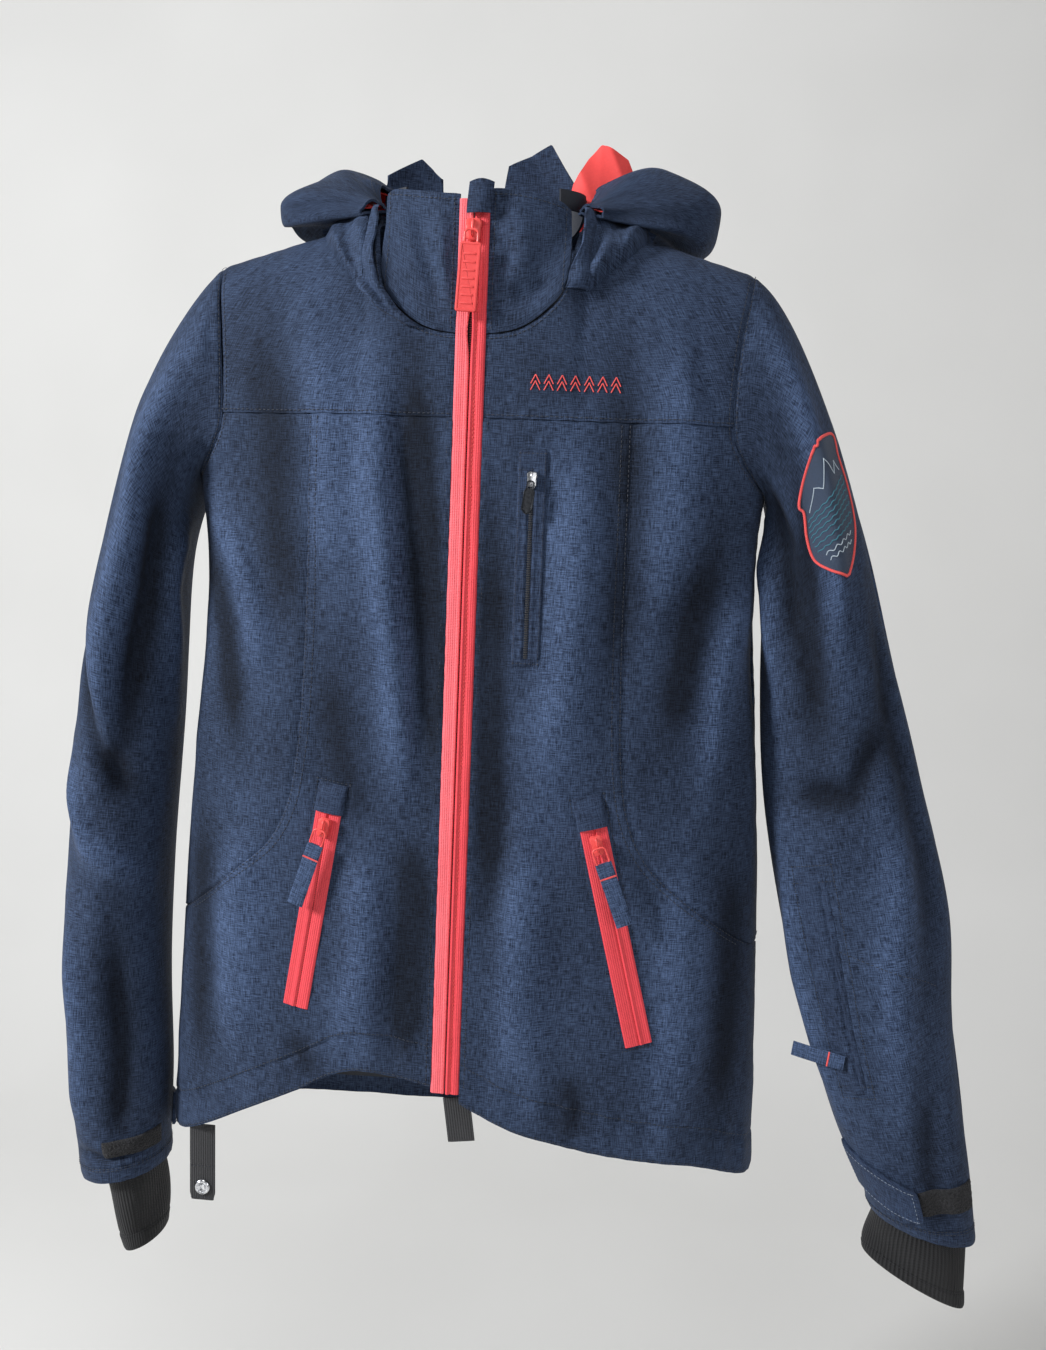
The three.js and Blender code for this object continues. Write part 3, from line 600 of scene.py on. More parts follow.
    def relief(self, a: Array, b: Array) -> Array:
        """Gives the lift of the folds, which die out at the armhole and the cuff."""
        a, b = both(a, b)
        turn = np.mod(a, TAU)
        lift = sum(f.lift(turn, b) for f in self.folds) + self.waves.lift(turn * 46, b * 700)
        return lift * smooth((b - 0.01) / 0.09) * lerp(0.3, 1, smooth((1 - b) / 0.08))


FRONT = FrontSkin()
BACK = BackSkin()
ARMS = {side: SleeveSkin(side) for side in Side}


# ---- Shader maths -------------------------------------------------------------------------------


class Socket:
    """A shader socket that can be used in sums."""

    def __init__(self, shader: "Shader", out: bpy.types.NodeSocket) -> None:
        """Keeps the socket and the shader that it belongs to."""
        self.shader, self.out = shader, out

    def _math(self, operation: str, first: object, second: object = 0.0) -> "Socket":
        """Adds one Math node and gives its result."""
        return self.shader.node("ShaderNodeMath", {"operation": operation}, {0: first, 1: second})["Value"]

    def __add__(self, other: object) -> "Socket":
        """Adds."""
        return self._math("ADD", self, other)

    __radd__ = __add__

    def __sub__(self, other: object) -> "Socket":
        """Takes the other away."""
        return self._math("SUBTRACT", self, other)

    def __rsub__(self, other: object) -> "Socket":
        """Takes this away from the other."""
        return self._math("SUBTRACT", other, self)

    def __mul__(self, other: object) -> "Socket":
        """Multiplies."""
        return self._math("MULTIPLY", self, other)

    __rmul__ = __mul__

    def __truediv__(self, other: object) -> "Socket":
        """Divides."""
        return self._math("DIVIDE", self, other)

    def __rtruediv__(self, other: object) -> "Socket":
        """Divides the other by this."""
        return self._math("DIVIDE", other, self)

    def __pow__(self, other: object) -> "Socket":
        """Raises to a power."""
        return self._math("POWER", self, other)

    def sine(self) -> "Socket":
        """Gives the sine."""
        return self._math("SINE", self)

    def size(self) -> "Socket":
        """Gives the value without its sign."""
        return self._math("ABSOLUTE", self)

    def least(self, other: object) -> "Socket":
        """Gives the smaller of two."""
        return self._math("MINIMUM", self, other)

    def most(self, other: object) -> "Socket":
        """Gives the larger of two."""
        return self._math("MAXIMUM", self, other)

    def ease(self, low: float, high: float) -> "Socket":
        """Eases from 0 at low to 1 at high."""
        settings = {"interpolation_type": "SMOOTHSTEP"}
        return self.shader.node("ShaderNodeMapRange", settings,
            {"Value": self, "From Min": low, "From Max": high})["Result"]


class Result(dict):
    """The named outputs of a node that was just made."""


class Shader:
    """A material's node tree and its one shader."""

    def __init__(self, name: str, colour: Sequence[float]) -> None:
        """Starts a material.

        Args:
            name: the finish's name.
            colour: the plain colour that viewports show.
        """
        self.material = bpy.data.materials.new(name)
        self.material.use_nodes = True
        self.material.diffuse_color = (*colour, 1.0)
        self.tree = self.material.node_tree
        self.tree.nodes.clear()
        self.surface = self.tree.nodes.new("ShaderNodeBsdfPrincipled")
        output = self.tree.nodes.new("ShaderNodeOutputMaterial")
        self.tree.links.new(self.surface.outputs["BSDF"], output.inputs["Surface"])

    def node(self, kind: str, settings: Optional[dict] = None, inputs: Optional[dict] = None) -> Result:
        """Adds a node.

        Args:
            kind: the node's type.
            settings: its settings, and "stops" for a ramp.
            inputs: values or sockets by input name or number.

        Returns:
            Its outputs by name.
        """
        made = self.tree.nodes.new(kind)
        for key, value in (settings or {}).items():
            setattr(made, key, value)
        for key, value in (inputs or {}).items():
            self.feed(made.inputs[key], value)
        return Result({o.name: Socket(self, o) for o in made.outputs if o.enabled})

    def feed(self, entry: bpy.types.NodeSocket, value: object) -> None:
        """Links or sets one input."""
        if isinstance(value, Socket):
            self.tree.links.new(value.out, entry)
        else:
            entry.default_value = value

    def blend(self, share: object, first: object, second: object) -> Socket:
        """Mixes two colours.

        Args:
            share: 0 for the first, 1 for the second.
            first: a colour or a socket.
            second: a colour or a socket.

        Returns:
            The mixed colour.
        """
        full = [(*c, 1.0) if isinstance(c, tuple) and len(c) == 3 else c for c in (first, second)]
        made = self.tree.nodes.new("ShaderNodeMix")
        made.data_type = "RGBA"
        for entry, value in zip((made.inputs[0], made.inputs[6], made.inputs[7]), (share, *full)):
            self.feed(entry, value)
        return Socket(self, made.outputs[2])

    def grain(self) -> tuple[Socket, Socket, Socket]:
        """Gives the cloth's own coordinates: across and along in millimetres, and the pair."""
        pair = self.node("ShaderNodeUVMap", {"uv_map": "cut"})["UV"]
        parts = self.node("ShaderNodeSeparateXYZ", None, {0: pair})
        return parts["X"] * 1000.0, parts["Y"] * 1000.0, pair

    def place(self) -> Socket:
        """Gives the object's own coordinates."""
        return self.node("ShaderNodeTexCoord")["Object"]

    def noise(self, where: Socket, size: Sequence[float], detail: float = 2.0, rough: float = 0.5) -> Socket:
        """Gives noise stretched to a size.

        Args:
            where: coordinates in metres.
            size: about how long a blot is each way, in millimetres.
            detail: how many finer layers it has.
            rough: how strong they are.

        Returns:
            A value about 0.5.
        """
        scale = tuple(1000.0 / s for s in size)
        spot = self.node("ShaderNodeMapping", {"vector_type": "POINT"},
            {"Vector": where, "Scale": scale})["Vector"]
        return self.node("ShaderNodeTexNoise", None,
            {"Vector": spot, "Scale": 1.0, "Detail": detail, "Roughness": rough})["Fac"]

    def bump(self, height: Socket, depth: float, strength: float = 1.0) -> None:
        """Feeds the normal from a height in millimetres."""
        out = self.node("ShaderNodeBump", None,
            {"Height": height, "Distance": depth * MM, "Strength": strength})
        self.feed(self.surface.inputs["Normal"], out["Normal"])

    def dress(self, **values: object) -> None:
        """Sets or links inputs of the shader; an underscore in a name stands for a space."""
        for key, value in values.items():
            full = (*value, 1.0) if isinstance(value, tuple) and len(value) == 3 else value
            self.feed(self.surface.inputs[key.replace("_", " ")], full)


# ---- Finishes -----------------------------------------------------------------------------------


@dataclass(frozen=True)
class HeatherCloth:
    """Woven shell cloth of mixed light and dark yarns."""

    name: str = "heather_cloth"
    dark: tuple[float, float, float] = (0.0055, 0.0095, 0.022)
    light: tuple[float, float, float] = (0.064, 0.098, 0.182)
    sheen: float = 0.03

    def make(self) -> bpy.types.Material:
        """Builds the material.

        Returns:
            Slubby yarns both ways, a fine weave in the bump, blotchy tone, and painted shade that darkens
            fold valleys and lightens ridges.
        """
        s = Shader(self.name, self.light)
        across, along, pair = s.grain()
        weft = s.noise(pair, (8.0, 0.6, 1.0), 2.0, 0.6)
        warp = s.noise(pair, (0.6, 9.0, 1.0), 2.0, 0.6)
        fleck = s.noise(pair, (0.9, 0.8, 1.0), 1.0, 0.5)
        cloud = s.noise(pair, (55.0, 80.0, 1.0), 3.0, 0.55)
        yarn = weft * 0.46 + warp * 0.44 + fleck * 0.12
        share = (yarn + (cloud - 0.5) * 0.10).ease(0.36, 0.70)
        # painted shade and light: the fold attribute darkens fold valleys and lightens ridges, mixed with
        # blotchy random tone
        painted_shade_and_tone = s.node("ShaderNodeAttribute", {"attribute_name": "fold"})["Fac"] + (cloud - 0.5) * 0.25
        # a shaded copy and a lit copy of the yarn colours, mixed by that painted level
        low, high = (s.blend(share, *(tuple(k * c for c in tone) for tone in (self.dark, self.light)))
            for k in (0.26, 1.48))
        colour = s.blend(painted_shade_and_tone.least(1.0).most(0.0), low, high)
        pick = (across * (TAU / 0.9)).sine() * (along * (TAU / 0.9)).sine()
        s.dress(Base_Color=colour, Roughness=share * 0.12 + 0.60, Sheen_Weight=self.sheen,
            Sheen_Roughness=0.5, Specular_IOR_Level=0.10)
        s.bump(yarn * 1.6 + pick * 0.28 + s.noise(pair, (16.0, 24.0, 1.0), 2.0) * 1.4, 0.34, 0.75)
        return s.material


@dataclass(frozen=True)
class PlainCloth:
    """A plain woven or brushed cloth."""

    name: str
    colour: tuple[float, float, float]
    shade: tuple[float, float, float]
    yarn: float = 0.8
    rough: float = 0.7
    depth: float = 0.2
    sheen: float = 0.1

    def make(self) -> bpy.types.Material:
        """Builds the material."""
        s = Shader(self.name, self.colour)
        across, along, pair = s.grain()
        weave = (across * (TAU / self.yarn)).sine() * (along * (TAU / self.yarn)).sine()
        blot = s.noise(pair, (self.yarn * 3, self.yarn * 3, 1.0), 3.0, 0.6)
        soft = s.noise(pair, (30.0, 45.0, 1.0), 2.0)
        share = (weave * 0.22 + blot * 0.7 + soft * 0.3).ease(0.1, 0.95)
        s.dress(Base_Color=s.blend(share, self.shade, self.colour),
            Roughness=blot * 0.15 + (self.rough - 0.07), Sheen_Weight=self.sheen)
        s.bump(weave * 0.5 + blot, self.depth, 0.8)
        return s.material


@dataclass(frozen=True)
class RibTape:
    """Zip tape with fine ribs across its run."""

    name: str
    colour: tuple[float, float, float]
    shade: tuple[float, float, float]
    rib: float = 1.5
    depth: float = 0.22

    def make(self) -> bpy.types.Material:
        """Builds the material."""
        s = Shader(self.name, self.colour)
        across, along, pair = s.grain()
        ribs = (across * (TAU / self.rib)).sine()
        picks = (along * (TAU / 1.1)).sine()
        blot = s.noise(pair, (2.0, 5.0, 1.0), 3.0, 0.6)
        soft = s.noise(pair, (12.0, 60.0, 1.0), 2.0)
        share = (ribs * 0.12 + picks * 0.10 + blot * 0.5 + soft * 0.5).ease(0.15, 0.8)
        s.dress(Base_Color=s.blend(share, self.shade, self.colour), Roughness=blot * 0.2 + 0.52,
            Sheen_Weight=0.08)
        s.bump(ribs * 0.5 + picks * 0.35 + blot * 0.6, self.depth, 0.8)
        return s.material


@dataclass(frozen=True)
class Metal:
    """Plated or painted metal with light handling marks."""

    name: str
    colour: tuple[float, float, float]
    shade: tuple[float, float, float]
    metallic: float
    rough: float

    def make(self) -> bpy.types.Material:
        """Builds the material."""
        s = Shader(self.name, self.colour)
        where = s.place()
        scuff = s.noise(where, (0.8, 0.8, 6.0), 3.0, 0.6)
        tone = s.noise(where, (3.0, 3.0, 3.0), 2.0)
        s.dress(Base_Color=s.blend(tone.ease(0.3, 0.7), self.shade, self.colour), Metallic=self.metallic)
        s.dress(Roughness=scuff.ease(0.35, 0.75) * 0.18 + self.rough, Specular_IOR_Level=0.5)
        s.bump(scuff, 0.03, 0.5)
        return s.material


@dataclass(frozen=True)
class Thread:
    """Sewing or embroidery thread."""

    name: str
    colour: tuple[float, float, float]
    shade: tuple[float, float, float]

    def make(self) -> bpy.types.Material:
        """Builds the material."""
        s = Shader(self.name, self.colour)
        ply = s.noise(s.place(), (0.35, 0.35, 0.35), 2.0)
        s.dress(Base_Color=s.blend(ply.ease(0.3, 0.7), self.shade, self.colour), Roughness=ply * 0.2 + 0.45,
            Sheen_Weight=0.15)
        s.bump(ply, 0.08, 0.7)
        return s.material


@dataclass(frozen=True)
class Knit:
    """Ribbed stretch knit."""

    name: str = "black_knit"
    colour: tuple[float, float, float] = (0.012, 0.012, 0.014)
    shade: tuple[float, float, float] = (0.002, 0.002, 0.003)
    rib: float = 2.6

    def make(self) -> bpy.types.Material:
        """Builds the material."""
        s = Shader(self.name, self.colour)
        across, along, pair = s.grain()
        rib = (across * (TAU / self.rib)).sine()
        loop = ((along * (TAU / 1.4)) + (across * (TAU / self.rib)).size()).sine()
        fluff = s.noise(pair, (1.2, 2.4, 1.0), 3.0, 0.6)
        share = (rib * 0.3 + loop * 0.1 + fluff).ease(0.1, 1.1)
        s.dress(Base_Color=s.blend(share, self.shade, self.colour), Roughness=fluff * 0.15 + 0.72,
            Sheen_Weight=0.03)
        s.bump(rib * 0.9 + loop * 0.3 + fluff * 0.4, 0.45, 0.9)
        return s.material


@dataclass(frozen=True)
class LoopPile:
    """The fuzzy half of a hook and loop fastening."""

    name: str = "black_loop"

    def make(self) -> bpy.types.Material:
        """Builds the material."""
        s = Shader(self.name, (0.01, 0.01, 0.011))
        _, _, pair = s.grain()
        spot = s.node("ShaderNodeMapping", None, {"Vector": pair, "Scale": (700.0, 700.0, 1.0)})["Vector"]
        cells = s.node("ShaderNodeTexVoronoi", {"feature": "F1"}, {"Vector": spot, "Scale": 1.0})["Distance"]
        fuzz = s.noise(pair, (0.7, 0.7, 1.0), 4.0, 0.7)
        colour = s.blend((fuzz + cells * 0.5).ease(0.4, 1.1), (0.002, 0.002, 0.003), (0.022, 0.022, 0.026))
        s.dress(Base_Color=colour, Roughness=fuzz * 0.1 + 0.85, Sheen_Weight=0.06)
        s.bump(cells + fuzz * 1.4, 0.8, 1.0)
        return s.material


CORAL = (0.86, 0.060, 0.078)
CORAL_SHADE = (0.62, 0.030, 0.044)


class Finishes:
    """Every finish of the jacket, made once and found by its record slot."""

    def __init__(self) -> None:
        """Makes the materials."""
        navy_dark = ((0.008, 0.014, 0.030), (0.003, 0.005, 0.012))
        self.by_slot = {
            "navy_shell": HeatherCloth().make(),
            "navy_trim": HeatherCloth("heather_trim", (0.005, 0.008, 0.019), (0.052, 0.080, 0.150)).make(),
            "navy_thread": Thread("navy_thread", *navy_dark).make(),
            "coral_tape": RibTape("coral_tape", CORAL, CORAL_SHADE).make(),
            "coral_tape_light": RibTape("coral_tape_light", (0.92, 0.155, 0.180),
            (0.80, 0.085, 0.105)).make(),
            "coral_metal": Metal("coral_metal", (0.86, 0.095, 0.085), (0.74, 0.060, 0.058), 0.0, 0.30).make(),
            "coral_rubber": PlainCloth("coral_rubber", (0.84, 0.070, 0.066), (0.66, 0.045, 0.045), 1.0, 0.52,
            0.12, 0.0).make(),
            "coral_thread": Thread("coral_thread", (0.90, 0.11, 0.10), (0.64, 0.05, 0.05)).make(),
            "coral_lining": PlainCloth("coral_lining", (0.93, 0.070, 0.060), (0.80, 0.045, 0.045), 0.7, 0.6,
            0.1, 0.1).make(),
            "dark_lining": PlainCloth("dark_lining", (0.014, 0.018, 0.030), (0.006, 0.008, 0.014), 0.6, 0.6,
            0.08, 0.03).make(),
            "zip_teeth_coral": Thread("coil_coral", (0.22, 0.020, 0.022), (0.08, 0.008, 0.010)).make(),
            "zip_teeth_black": Thread("coil_black", (0.030, 0.030, 0.034), (0.010, 0.010, 0.012)).make(),
            "chrome": Metal("chrome", (0.78, 0.79, 0.81), (0.62, 0.63, 0.66), 1.0, 0.14).make(),
            "gunmetal": Metal("gunmetal", (0.045, 0.048, 0.055), (0.022, 0.024, 0.028), 0.9, 0.24).make(),
            "black_knit": Knit().make(),
            "black_loop": LoopPile().make(),
            "black_webbing": RibTape("black_webbing", (0.022, 0.022, 0.025), (0.006, 0.006, 0.008), 1.8,
            0.4).make(),
            "badge": PlainCloth("badge_ground", (0.030, 0.055, 0.105), (0.014, 0.026, 0.055), 0.5, 0.62,
            0.16, 0.1).make(),
            "grey_thread": Thread("grey_thread", (0.22, 0.26, 0.33), (0.12, 0.15, 0.20)).make(),
            "teal_thread": Thread("teal_thread", (0.030, 0.19, 0.25), (0.016, 0.10, 0.15)).make(),
            "pale_thread": Thread("pale_thread", (0.50, 0.58, 0.64), (0.30, 0.37, 0.44)).make(),
        }

    def __getitem__(self, slot: str) -> bpy.types.Material:
        """Finds a finish."""
        return self.by_slot[slot]


# ---- Meshes -------------------------------------------------------------------------------------


def paint_fold_shade(mesh: bpy.types.Mesh, painted_levels: Array) -> None:
    """Stores the painted shade of each point, from 0 for the darkest valley to 1 for the lightest ridge."""
    # the attribute named fold carries painted shade and light, which the heather cloth reads into its colour
    layer = mesh.attributes.get("fold") or mesh.attributes.new("fold", "FLOAT", "POINT")
    layer.data.foreach_set("value", np.clip(painted_levels, 0, 1).astype(np.float32))


def bring(name: str, mesh: bpy.types.Mesh) -> bpy.types.Object:
    """Puts a mesh in the scene as an object at the origin, with the plain level of its painted shade."""
    paint_fold_shade(mesh, np.full(len(mesh.vertices), PLAIN_PAINTED_LIGHT))
    made = bpy.data.objects.new(name, mesh)
    bpy.context.scene.collection.objects.link(made)
    return made


def volume_of(points: Array, faces: Sequence[Sequence[int]]) -> float:
    """Measures what faces enclose.

    Args:
        points: the corners.
        faces: the faces, by corner.

    Returns:
        Six times the volume, less than 0 where the faces point inwards.
    """
    total = 0.0
    for f in faces:
        a, b, c = points[f[0]], points[f[1]], points[f[2]]
        total += float(np.dot(a, np.cross(b, c)))
        if len(f) > 3:
            for k in range(3, len(f)):
                total += float(np.dot(points[f[0]], np.cross(points[f[k - 1]], points[f[k]])))
    return total


@dataclass
class Shape:
    """Points, faces and cut coordinates that become one mesh."""

    points: list = field(default_factory=list)
    faces: list = field(default_factory=list)
    cuts: list = field(default_factory=list)

    def add(self, points: Array, faces: Sequence[Sequence[int]], cuts: Optional[Array] = None,
            at: Optional[Array] = None) -> "Shape":
        """Adds a closed form.

        Args:
            points: its corners in millimetres.
            faces: its faces.
            cuts: the cloth coordinates of each corner; its own X and Y where left out.
            at: a 4 by 4 matrix that places it.

        Returns:
            This shape.
        """
        points = np.asarray(points, float)
        cuts = points[:, :2] if cuts is None else cuts
        if at is not None:
            points = moved(points, at)
        start = sum(len(p) for p in self.points)
        turned = volume_of(points - points.mean(0), faces) < 0
        self.faces += [tuple(start + i for i in (reversed(f) if turned else f)) for f in faces]
        self.points.append(points)
        self.cuts.append(np.asarray(cuts, float))
        return self

    def make(self, name: str, material: bpy.types.Material, smooth_angle: float = 40.0) -> bpy.types.Object:
        """Builds the object.

        Args:
            name: the piece's name.
            material: its finish.
            smooth_angle: edges sharper than this stay sharp.

        Returns:
            The object, at the origin.
        """
        mesh = bpy.data.meshes.new(name)
        mesh.from_pydata((np.vstack(self.points) * MM).tolist(), [], self.faces)
        layer = mesh.uv_layers.new(name="cut")
        loops = np.empty(len(mesh.loops), np.int32)
        mesh.loops.foreach_get("vertex_index", loops)
        layer.data.foreach_set("uv", (np.vstack(self.cuts)[loops] * MM).ravel())
        mesh.polygons.foreach_set("use_smooth", np.ones(len(mesh.polygons), bool))
        mesh.set_sharp_from_angle(angle=math.radians(smooth_angle))
        mesh.materials.append(material)
        return bring(name, mesh)


def finish_piece(made: bpy.types.Object, slot: str, body: str, *nodes: str) -> bpy.types.Object:
    """Hides the CAD nodes that a piece stands for, attaches it to its body and logs it.

    Args:
        made: the piece.
        slot: the record slot of its finish; not used.
        body: the CAD body that it moves with, or an empty word where it lies between two.
        nodes: the CAD nodes that it stands for.

    Returns:
        The piece.
    """
    if nodes:
        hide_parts(*nodes)
    if body:
        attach(made, body)
    LOG.info("%s: %d faces, %s", made.name, len(made.data.polygons), body or "between two bodies")
    return made


def wall(name: str, outer: Array, inner: Array, cuts: Array, material: bpy.types.Material,
         closed: bool = False) -> bpy.types.Object:
    """Makes a closed sheet from its two faces.

    Args:
        name: the piece's name.
        outer: rows of points of the outer face, in millimetres.
        inner: rows of points of the inner face.
        cuts: cloth coordinates in millimetres, with one more column where the sheet is a tube.
        material: its finish.
        closed: whether the last column joins the first.

    Returns:
        The object.
    """
    rows, columns = outer.shape[:2]
    cut_columns = cuts.shape[1]
    count = rows * columns
    last = columns if closed else columns - 1

    def cells(width: int, i: Array, j: Array, after: Array) -> Array:
        """Gives the four corners of each cell by number."""
        return np.stack([i * width + j, i * width + after, (i + 1) * width + after, (i + 1) * width + j], 1)

    i, j = (g.ravel() for g in grid(np.arange(rows - 1), np.arange(last)))
    quads, spots = cells(columns, i, j, (j + 1) % columns), cells(cut_columns, i, j, j + 1)
    quad_sets, spot_sets = [quads, quads[:, ::-1] + count], [spots, spots[:, ::-1]]

    def rim(near: Array, far: Array, near_cut: Array, far_cut: Array, flip: int) -> None:
        """Closes one edge between the two faces."""
        order = slice(None, None, -1 if flip else 1)
        quad_sets.append(np.stack([near, far, far + count, near + count], 1)[:, order])
        spot_sets.append(np.stack([near_cut, far_cut, far_cut, near_cut], 1)[:, order])

    j = np.arange(last)
    for row, flip in ((0, 1), (rows - 1, 0)):
        start, cut = row * columns, row * cut_columns
        rim(start + j, start + (j + 1) % columns, cut + j, cut + j + 1, flip)
    if not closed:
        i = np.arange(rows - 1)
        for column, flip in ((0, 0), (columns - 1, 1)):
            start, cut = i * columns + column, i * cut_columns + column
            rim(start, start + columns, cut, cut + cut_columns, flip)
    faces, spots = np.vstack(quad_sets), np.vstack(spot_sets)
    points = np.vstack([outer.reshape(-1, 3), inner.reshape(-1, 3)])
    centre = points.mean(0)
    a, b, c, d = (points[faces[:, n]] - centre for n in range(4))
    volume = (np.cross(b, c) * a).sum() + (np.cross(c, d) * a).sum()
    if volume < 0:
        faces, spots = faces[:, ::-1], spots[:, ::-1]
    mesh = bpy.data.meshes.new(name)
    mesh.from_pydata((points * MM).tolist(), [], faces.tolist())
    layer = mesh.uv_layers.new(name="cut")
    layer.data.foreach_set("uv", (cuts.reshape(-1, 2)[spots.ravel()] * MM).ravel())
    mesh.polygons.foreach_set("use_smooth", np.ones(len(mesh.polygons), bool))
    mesh.set_sharp_from_angle(angle=math.radians(50))
    mesh.materials.append(material)
    return bring(name, mesh)


def runs(points: Array, axis: int) -> Array:
    """Adds up distances along one axis of a grid of points."""
    steps = np.linalg.norm(np.diff(points, axis=axis), axis=-1)
    first = np.zeros_like(np.take(steps, [0], axis=axis))
    return np.cumsum(np.concatenate([first, steps], axis=axis), axis=axis)


def grid_normals(points: Array, closed: bool = False) -> Array:
    """Finds unit normals of a grid of points.

    Args:
        points: rows of points.
        closed: whether the last column joins the first.

    Returns:
        A unit vector at each point.
    """
    if closed:
        around = np.concatenate([points[:, -1:], points, points[:, :1]], axis=1)
        along = (around[:, 2:] - around[:, :-2]) / 2
    else:
        along = np.gradient(points, axis=1)
    out = np.cross(along, np.gradient(points, axis=0))
    return out / np.maximum(np.linalg.norm(out, axis=-1, keepdims=True), 1e-9)


@dataclass(frozen=True)
class Edges:
    """How far each edge of a panel dips into its seam, and over what width."""

    first: float = 1.3
    last: float = 1.3
    top: float = 1.3
    foot: float = 1.3
    width: float = 2.4
    pucker: float = 0.22


NO_SEAM = Edges(0, 0, 0, 0, pucker=0)


@dataclass
class Panel:
    """One cut piece of cloth on a skin."""

    name: str
    skin: Skin
    a: Array
    b: Array
    thick: float
    slot: str = "navy_shell"
    edges: Edges = Edges()
    lift: Optional[Array] = None
    closed: bool = False
    depth: float = 0.0
    folded: float = 1.0

    def make(self, finishes: Finishes, body: str, nodes: Sequence[str],
             held: Optional[str] = "hung") -> bpy.types.Object:
        """Args:
            finishes: the jacket's finishes.
            body: the CAD body that it moves with, or an empty word where it is attached to none.
            nodes: the CAD nodes that it stands for.
            held: how the cloth is held, or None; where given, the cloth's width, length and area are worked
                out and not used.

        Returns:
            The object.
        """
        base = self.skin.base(self.a, self.b)
        normals = grid_normals(base, self.closed)
        guess = self.skin.normal(self.a, self.b)
        if float((normals * guess).sum()) < 0:
            normals = -normals
        across, down = runs(base, 1), runs(base, 0)
        extra = 0.0 if self.lift is None else self.lift
        lift = self.skin.relief(self.a, self.b) * self.folded + extra - self.depth
        e = self.edges
        far, low = across[:, -1:] - across, down[-1:] - down
        reach = []
        for depth, gap in ((e.first, across), (e.last, far), (e.top, down), (e.foot, low)):
            if depth and not (self.closed and gap is not down and gap is not low):
                reach.append(gap)
                lift = lift - depth * crest(gap, e.width)
        if reach and e.pucker:
            near = np.minimum.reduce(reach)
            puckers = np.sin(across / 2.6 + down / 2.9 + 2.0 * np.sin(down / 13.0 + across / 17.0))
            lift = lift + e.pucker * np.exp(-near / 7.0) * puckers
        outer = base + normals * lift[..., None]
        inner = outer - normals * self.thick
        if self.closed:
            end = across[:, -1:] + np.linalg.norm(base[:, :1] - base[:, -1:], axis=-1)
            across, down = np.hstack([across, end]), np.hstack([down, down[:, :1]])
        middle = down.mean(axis=1, keepdims=True) + np.zeros_like(down)
        cuts = np.stack([across - across[:, across.shape[1] // 2, None], -middle], -1)
        if isinstance(self.skin, (FrontSkin, BackSkin)):
            x, z = np.broadcast_arrays(self.a, self.b)
            cuts = np.stack([x[:, :1] * np.sign(x[0, -1] - x[0, 0]) + across, z], -1)
        made = wall(self.name, outer, inner, cuts, finishes[self.slot], self.closed)
        # painted shade: each point darker in a fold's valley and lighter on its ridge, the same on both faces
        paint_fold_shade(made.data, np.tile(self.skin.level(self.a, self.b).ravel(), 2))
        finish_piece(made, self.slot, body, *nodes)
        if held:
            width, length = float(np.ptp(cuts[..., 0])) * MM, float(np.ptp(cuts[..., 1])) * MM
            da, db = np.diff(base, axis=1)[:-1], np.diff(base, axis=0)[:, :-1]
            area = float(np.linalg.norm(np.cross(da, db), axis=-1).sum()) * MM * MM
            if self.closed:
                area *= (across.shape[1] - 1) / (across.shape[1] - 2)
            area = min(max(area, 0.31 * width * length), width * length)
        return made


def ring_faces(low: int, high: int, sides: int, turn: int = 0) -> list[tuple[int, ...]]:
    """Joins two rings of points.

    Args:
        low: the number of the first ring.
        high: the number of the second.
        sides: how many points a ring has.
        turn: at which corner each face starts.

    Returns:
        One face for each side.
    """
    faces = []
    for k in range(sides):
        after = (k + 1) % sides
        corners = (low * sides + k, low * sides + after, high * sides + after, high * sides + k)
        faces.append(corners[turn:] + corners[:turn])
    return faces


def plate(outline: Array, thick: float, edge: float = 0.5, recess: float = 0.0,
          rim: float = 1.4) -> tuple[Array, list]:
    """Makes a flat form with soft edges from its outline.

    Args:
        outline: the corners in order, in X and Y.
        thick: its thickness along Z, from 0 upward.
        edge: how much its edges are rounded.
        recess: how deep the upper face is sunk inside a rim.
        rim: how wide the rim is.

    Returns:
        Its points and faces.
    """
    outline = np.asarray(outline, float)
    before, after = np.roll(outline, 1, 0), np.roll(outline, -1, 0)
    tangent = after - before
    tangent /= np.maximum(np.linalg.norm(tangent, axis=1, keepdims=True), 1e-9)
    inward = np.stack([-tangent[:, 1], tangent[:, 0]], 1)
    area = (outline[:, 0] * after[:, 1] - after[:, 0] * outline[:, 1]).sum()
    inward = inward if area > 0 else -inward
    third = edge * 0.3
    steps = [(edge, 0.0), (third, third), (0.0, edge)]
    steps += [(inset, thick - z) for inset, z in reversed(steps)]
    if recess:
        steps += [(rim, thick), (rim + 0.3, thick - recess)]
    rings = [np.column_stack([outline + inward * inset, np.full(len(outline), z)]) for inset, z in steps]
    n = len(outline)
    faces = [tuple(range(n)), tuple(reversed(range((len(rings) - 1) * n, len(rings) * n)))]
    for r in range(len(rings) - 1):
        faces += [tuple(reversed(f)) for f in ring_faces(r, r + 1, n, 2)]
    return np.vstack(rings), faces


def rounded(width: float, top: float, foot: float, radius: float, steps: int = 5,
            top_radius: Optional[float] = None) -> Array:
    """Gives the outline of an upright rectangle with round corners.

    Args:
        width: its width.
        top: the height of its top.
        foot: the height of its foot.
        radius: the radius of its corners.
        steps: how many steps round each corner.
        top_radius: the radius of the upper corners, where it differs.

    Returns:
        The corners in order.
    """
    half = width / 2
    upper = radius if top_radius is None else top_radius
    corners = ((half - upper, top - upper, 0, upper), (-half + upper, top - upper, 90, upper),
               (-half + radius, foot + radius, 180, radius), (half - radius, foot + radius, 270, radius))
    points = []
    for x, y, start, r in corners:
        for k in range(steps + 1):
            turn = math.radians(start + 90 * k / steps)
            points.append((x + r * math.cos(turn), y + r * math.sin(turn)))
    return np.array(points)


